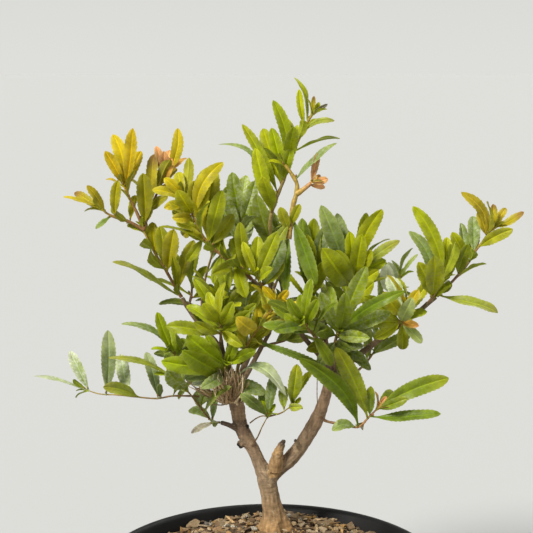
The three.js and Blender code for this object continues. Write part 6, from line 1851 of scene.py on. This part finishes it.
class Paint:
    """One material, built round its Principled shader."""

    def __init__(self, name, **values):
        self.material = bpy.data.materials.new(name)
        self.material.use_nodes = True
        self.nodes = self.material.node_tree.nodes
        self.links = self.material.node_tree.links
        self.shader = self.nodes["Principled BSDF"]
        for socket, value in values.items():
            self.shader.inputs[socket.replace("_", " ")].default_value = value

    def node(self, kind, inputs=None, **settings):
        """A node of a kind, with inputs by name or number, each a value or another node's socket."""
        made = self.nodes.new("ShaderNode" + kind)
        for key, value in settings.items():
            setattr(made, key, value)
        for key, value in (inputs or {}).items():
            self.feed(made.inputs[key], value)
        return made

    def feed(self, socket, value):
        if isinstance(value, bpy.types.NodeSocket):
            self.links.new(value, socket)
        else:
            socket.default_value = value

    def math(self, operation, *values):
        inputs = dict(enumerate(values))
        return self.node("Math", inputs, operation=operation).outputs[0]

    def ramp(self, value, low, high, start=0.0, end=1.0):
        """A smooth step in value from start to end, between low and high."""
        inputs = {"Value": value, "From Min": low, "From Max": high, "To Min": start, "To Max": end}
        return self.node("MapRange", inputs, interpolation_type="SMOOTHSTEP").outputs[0]

    def noise(self, scale, detail=3.0, stretch=None, roughness=0.6):
        """Noise over the object, by its place in metres, stretched along an axis if asked."""
        where = self.node("TexCoord").outputs["Object"]
        if stretch:
            where = self.node("Mapping", {"Vector": where, "Scale": stretch}).outputs[0]
        inputs = {"Vector": where, "Scale": scale, "Detail": detail, "Roughness": roughness}
        return self.node("TexNoise", inputs).outputs[0]

    def attribute(self, name, output="Color"):
        return self.node("Attribute", attribute_name=name).outputs[output]

    def blend(self, share, a, b, kind="MIX"):
        """A mix of two colours."""
        made = self.node("Mix", data_type="RGBA", blend_type=kind)
        self.feed(made.inputs[0], share)
        self.feed(made.inputs[6], a)
        self.feed(made.inputs[7], b)
        return made.outputs[2]

    def grey(self, value):
        """A number as a colour."""
        return self.node("CombineColor", {0: value, 1: value, 2: value}).outputs[0]

    def scaled(self, colour, factor):
        """A colour made lighter or darker by a factor."""
        return self.blend(1.0, colour, self.grey(factor), "MULTIPLY")

    def colour(self, socket):
        self.feed(self.shader.inputs["Base Color"], socket)

    def bump(self, height, distance, strength=1.0):
        inputs = {"Height": height, "Distance": distance * MM, "Strength": strength}
        normal = self.node("Bump", inputs).outputs[0]
        self.feed(self.shader.inputs["Normal"], normal)


def colour4(code):
    return (*shade(code), 1)


def leaf_material(name, roughness):
    """A glossy leaf with a pale midrib, side veins that run to its teeth, and a painted sheen in streaks
    that stands in for the sky's reflection.
    """
    paint = Paint(name, Roughness=roughness, IOR=1.45, Specular_IOR_Level=0.13,
                  Subsurface_Weight=0.1, Subsurface_Scale=0.0012)
    paint.shader.inputs["Subsurface Radius"].default_value = (0.7, 1.0, 0.15)
    parts = paint.node("SeparateXYZ", {0: paint.attribute("place", "Vector")})
    across = paint.math("ABSOLUTE", parts.outputs[0])
    along = parts.outputs[1]
    phase = paint.math("SUBTRACT", along, paint.math("MULTIPLY", across, 1.2))
    swing = paint.math("SINE", paint.math("MULTIPLY", phase, 2 * math.pi))
    vein = paint.math("MULTIPLY", paint.ramp(swing, 0.75, 1.0), paint.ramp(across, 1.0, 0.7))
    midrib = paint.ramp(across, 0.15, 0.03)
    net = paint.noise(900, 2)
    mottle = paint.noise(160, 4)
    tint = paint.attribute("tint")
    colour = paint.scaled(tint, paint.ramp(mottle, 0.25, 0.75, 0.72, 1.3))
    veined = paint.math("ADD", paint.math("MULTIPLY", midrib, 0.75), paint.math("MULTIPLY", vein, 0.22))
    colour = paint.blend(veined, colour, paint.scaled(tint, 1.7))
    painted_sheen = paint.attribute("tint", "Alpha")
    # The painted sheen: pale grey-green streaks away from the veins, which stand in for the sky's reflection
    # on the leaf's gloss
    streaks = paint.ramp(paint.noise(420, 3), 0.3, 0.72)
    painted_sheen_share = paint.math("MULTIPLY", painted_sheen, paint.math("MULTIPLY", streaks, paint.ramp(vein, 1, 0)))
    colour = paint.blend(painted_sheen_share, colour, colour4("#cdd2bc"))
    paint.colour(colour)
    height = paint.math("SUBTRACT", paint.math("MULTIPLY", net, 0.5), paint.math("MULTIPLY", vein, 0.9))
    paint.bump(height, 0.12, 0.55)
    return paint.material


def bark_material():
    """Fine dry bark: streaks along, rings across, pale flecks and dark pits."""
    paint = Paint("bark", Roughness=0.82, IOR=1.4)
    grain = paint.noise(520, 5, (1, 1, 0.22))
    rings = paint.noise(420, 4, (0.35, 0.35, 1.6))
    flecks = paint.noise(900, 2)
    colour = paint.scaled(paint.attribute("tint"), paint.ramp(grain, 0.3, 0.7, 0.76, 1.22))
    colour = paint.scaled(colour, paint.ramp(rings, 0.35, 0.6, 0.88, 1.06))
    colour = paint.blend(paint.ramp(flecks, 0.6, 0.75, 0, 0.5), colour, colour4("#c9bda4"))
    colour = paint.blend(paint.ramp(flecks, 0.36, 0.26, 0, 0.4), colour, colour4("#5c452e"))
    paint.colour(colour)
    paint.bump(paint.math("ADD", grain, rings), 0.35, 0.8)
    return paint.material


def stem_material():
    """Young stems and buds: smooth, faintly streaked, a little glossy."""
    paint = Paint("young_stem", Roughness=0.5, IOR=1.45)
    streaks = paint.noise(800, 3)
    paint.colour(paint.scaled(paint.attribute("tint"), paint.ramp(streaks, 0.3, 0.7, 0.7, 1.3)))
    paint.bump(streaks, 0.1, 0.5)
    return paint.material


def plastic_material():
    """Matte black moulded plastic with a fine grain, dust and faint scuffs."""
    paint = Paint("black_plastic", Roughness=0.6, IOR=1.45, Specular_IOR_Level=0.25)
    dust = paint.noise(35, 6)
    grain = paint.noise(2600, 2)
    scuffs = paint.noise(240, 5, (1, 1, 0.15))
    colour = paint.blend(paint.ramp(dust, 0.45, 0.8, 0, 0.5), colour4("#090909"), colour4("#171614"))
    colour = paint.blend(paint.ramp(scuffs, 0.66, 0.8, 0, 0.3), colour, colour4("#2a2926"))
    paint.colour(colour)
    paint.feed(paint.shader.inputs["Roughness"], paint.ramp(dust, 0.3, 0.8, 0.42, 0.68))
    paint.bump(grain, 0.06, 0.6)
    return paint.material


def chip_material():
    """Porous chips: each its own colour, speckled and dusty."""
    paint = Paint("soil_chips", Roughness=0.92, IOR=1.35)
    pores = paint.noise(1300, 4)
    patches = paint.noise(300, 4)
    colour = paint.scaled(paint.attribute("tint"), paint.ramp(pores, 0.3, 0.7, 0.6, 1.3))
    colour = paint.blend(paint.ramp(patches, 0.5, 0.75, 0, 0.35), colour, colour4("#b8a888"))
    paint.colour(colour)
    paint.bump(pores, 0.3, 0.9)
    return paint.material


def bed_material():
    """The moist soil under the chips."""
    paint = Paint("soil_bed", Roughness=0.95)
    crumbs = paint.noise(420, 6)
    colour = paint.blend(paint.ramp(crumbs, 0.35, 0.7), colour4("#2e2115"), colour4("#7b5b3a"))
    paint.colour(colour)
    paint.bump(crumbs, 1.2, 1.0)
    return paint.material


# How far the floor reaches in metres, and its colour
FLOOR = {"reach": 40, "colour": (0.44, 0.445, 0.45)}
# The sky's colour, its strength at the horizon and above, and how high the change between them ends
SKY = {"colour": (0.99, 0.99, 0.952), "horizon": 0.74, "above": 0.46, "fade": 0.6}
# Broad soft lights: where each stands, its strength, the angle it fills, and its colour
LIGHTS = {
    "key": ((-0.75, -0.85, 1.1), 4.1, 16, (1.0, 0.98, 0.92)),
    "back": ((0.55, 0.9, 1.3), 0.9, 30, (1.0, 1.0, 0.94)),
}


def build_stage():
    """The camera, a pale floor and soft lights."""
    scene = bpy.context.scene
    eye = bpy.data.cameras.new("eye")
    eye.angle = math.radians(PICTURE["angle"])
    eye.clip_end = 100
    camera = linked("eye", eye)
    camera.location = Vector(PICTURE["eye"]) * MM
    camera.rotation_euler = (math.radians(90 - PICTURE["dip"]), 0, 0)
    scene.camera = camera
    for name, (place, strength, fill, colour) in LIGHTS.items():
        light = bpy.data.lights.new(name, "SUN")
        light.energy = strength
        light.angle = math.radians(fill)
        light.color = colour
        lamp = linked(name, light)
        lamp.rotation_euler = Vector(place).to_track_quat("Z", "Y").to_euler()
    world = bpy.data.worlds.new("sky")
    world.use_nodes = True
    world.node_tree.nodes["Background"].inputs["Color"].default_value = (*SKY["colour"], 1)
    nodes, links = world.node_tree.nodes, world.node_tree.links
    direction = nodes.new("ShaderNodeTexCoord")
    parts = nodes.new("ShaderNodeSeparateXYZ")
    links.new(direction.outputs["Generated"], parts.inputs[0])
    fade = nodes.new("ShaderNodeMapRange")
    links.new(parts.outputs[2], fade.inputs["Value"])
    for socket, value in {"From Max": SKY["fade"], "To Min": SKY["horizon"], "To Max": SKY["above"]}.items():
        fade.inputs[socket].default_value = value
    links.new(fade.outputs[0], nodes["Background"].inputs["Strength"])
    scene.world = world
    scene.view_settings.view_transform = "Standard"
    reach = FLOOR["reach"]
    square = [(-reach, -reach, 0), (reach, -reach, 0), (reach, reach, 0), (-reach, reach, 0)]
    ground = bpy.data.meshes.new("floor")
    ground.from_pydata(square, [], [(0, 1, 2, 3)])
    ground.materials.append(Paint("floor", Roughness=0.9, Base_Color=(*FLOOR["colour"], 1)).material)
    floor = linked("floor", ground)


build_stage()
MATERIALS = {
    "leaf_mature": leaf_material("leaf_mature", 0.3),
    "leaf_fresh": leaf_material("leaf_fresh", 0.34),
    "leaf_young": leaf_material("leaf_young", 0.4),
    "stem": stem_material(),
    "bark": bark_material(),
}
build_wood(MATERIALS["bark"])
build_bare_twigs(MATERIALS["stem"])
for order, (name, grown) in enumerate(all_leaves().items()):
    build_shoot(name, order, grown, MATERIALS)
build_pan(plastic_material())
build_chips(chip_material())
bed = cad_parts["soil"]
bed.data.materials.clear()
bed.data.materials.append(bed_material())
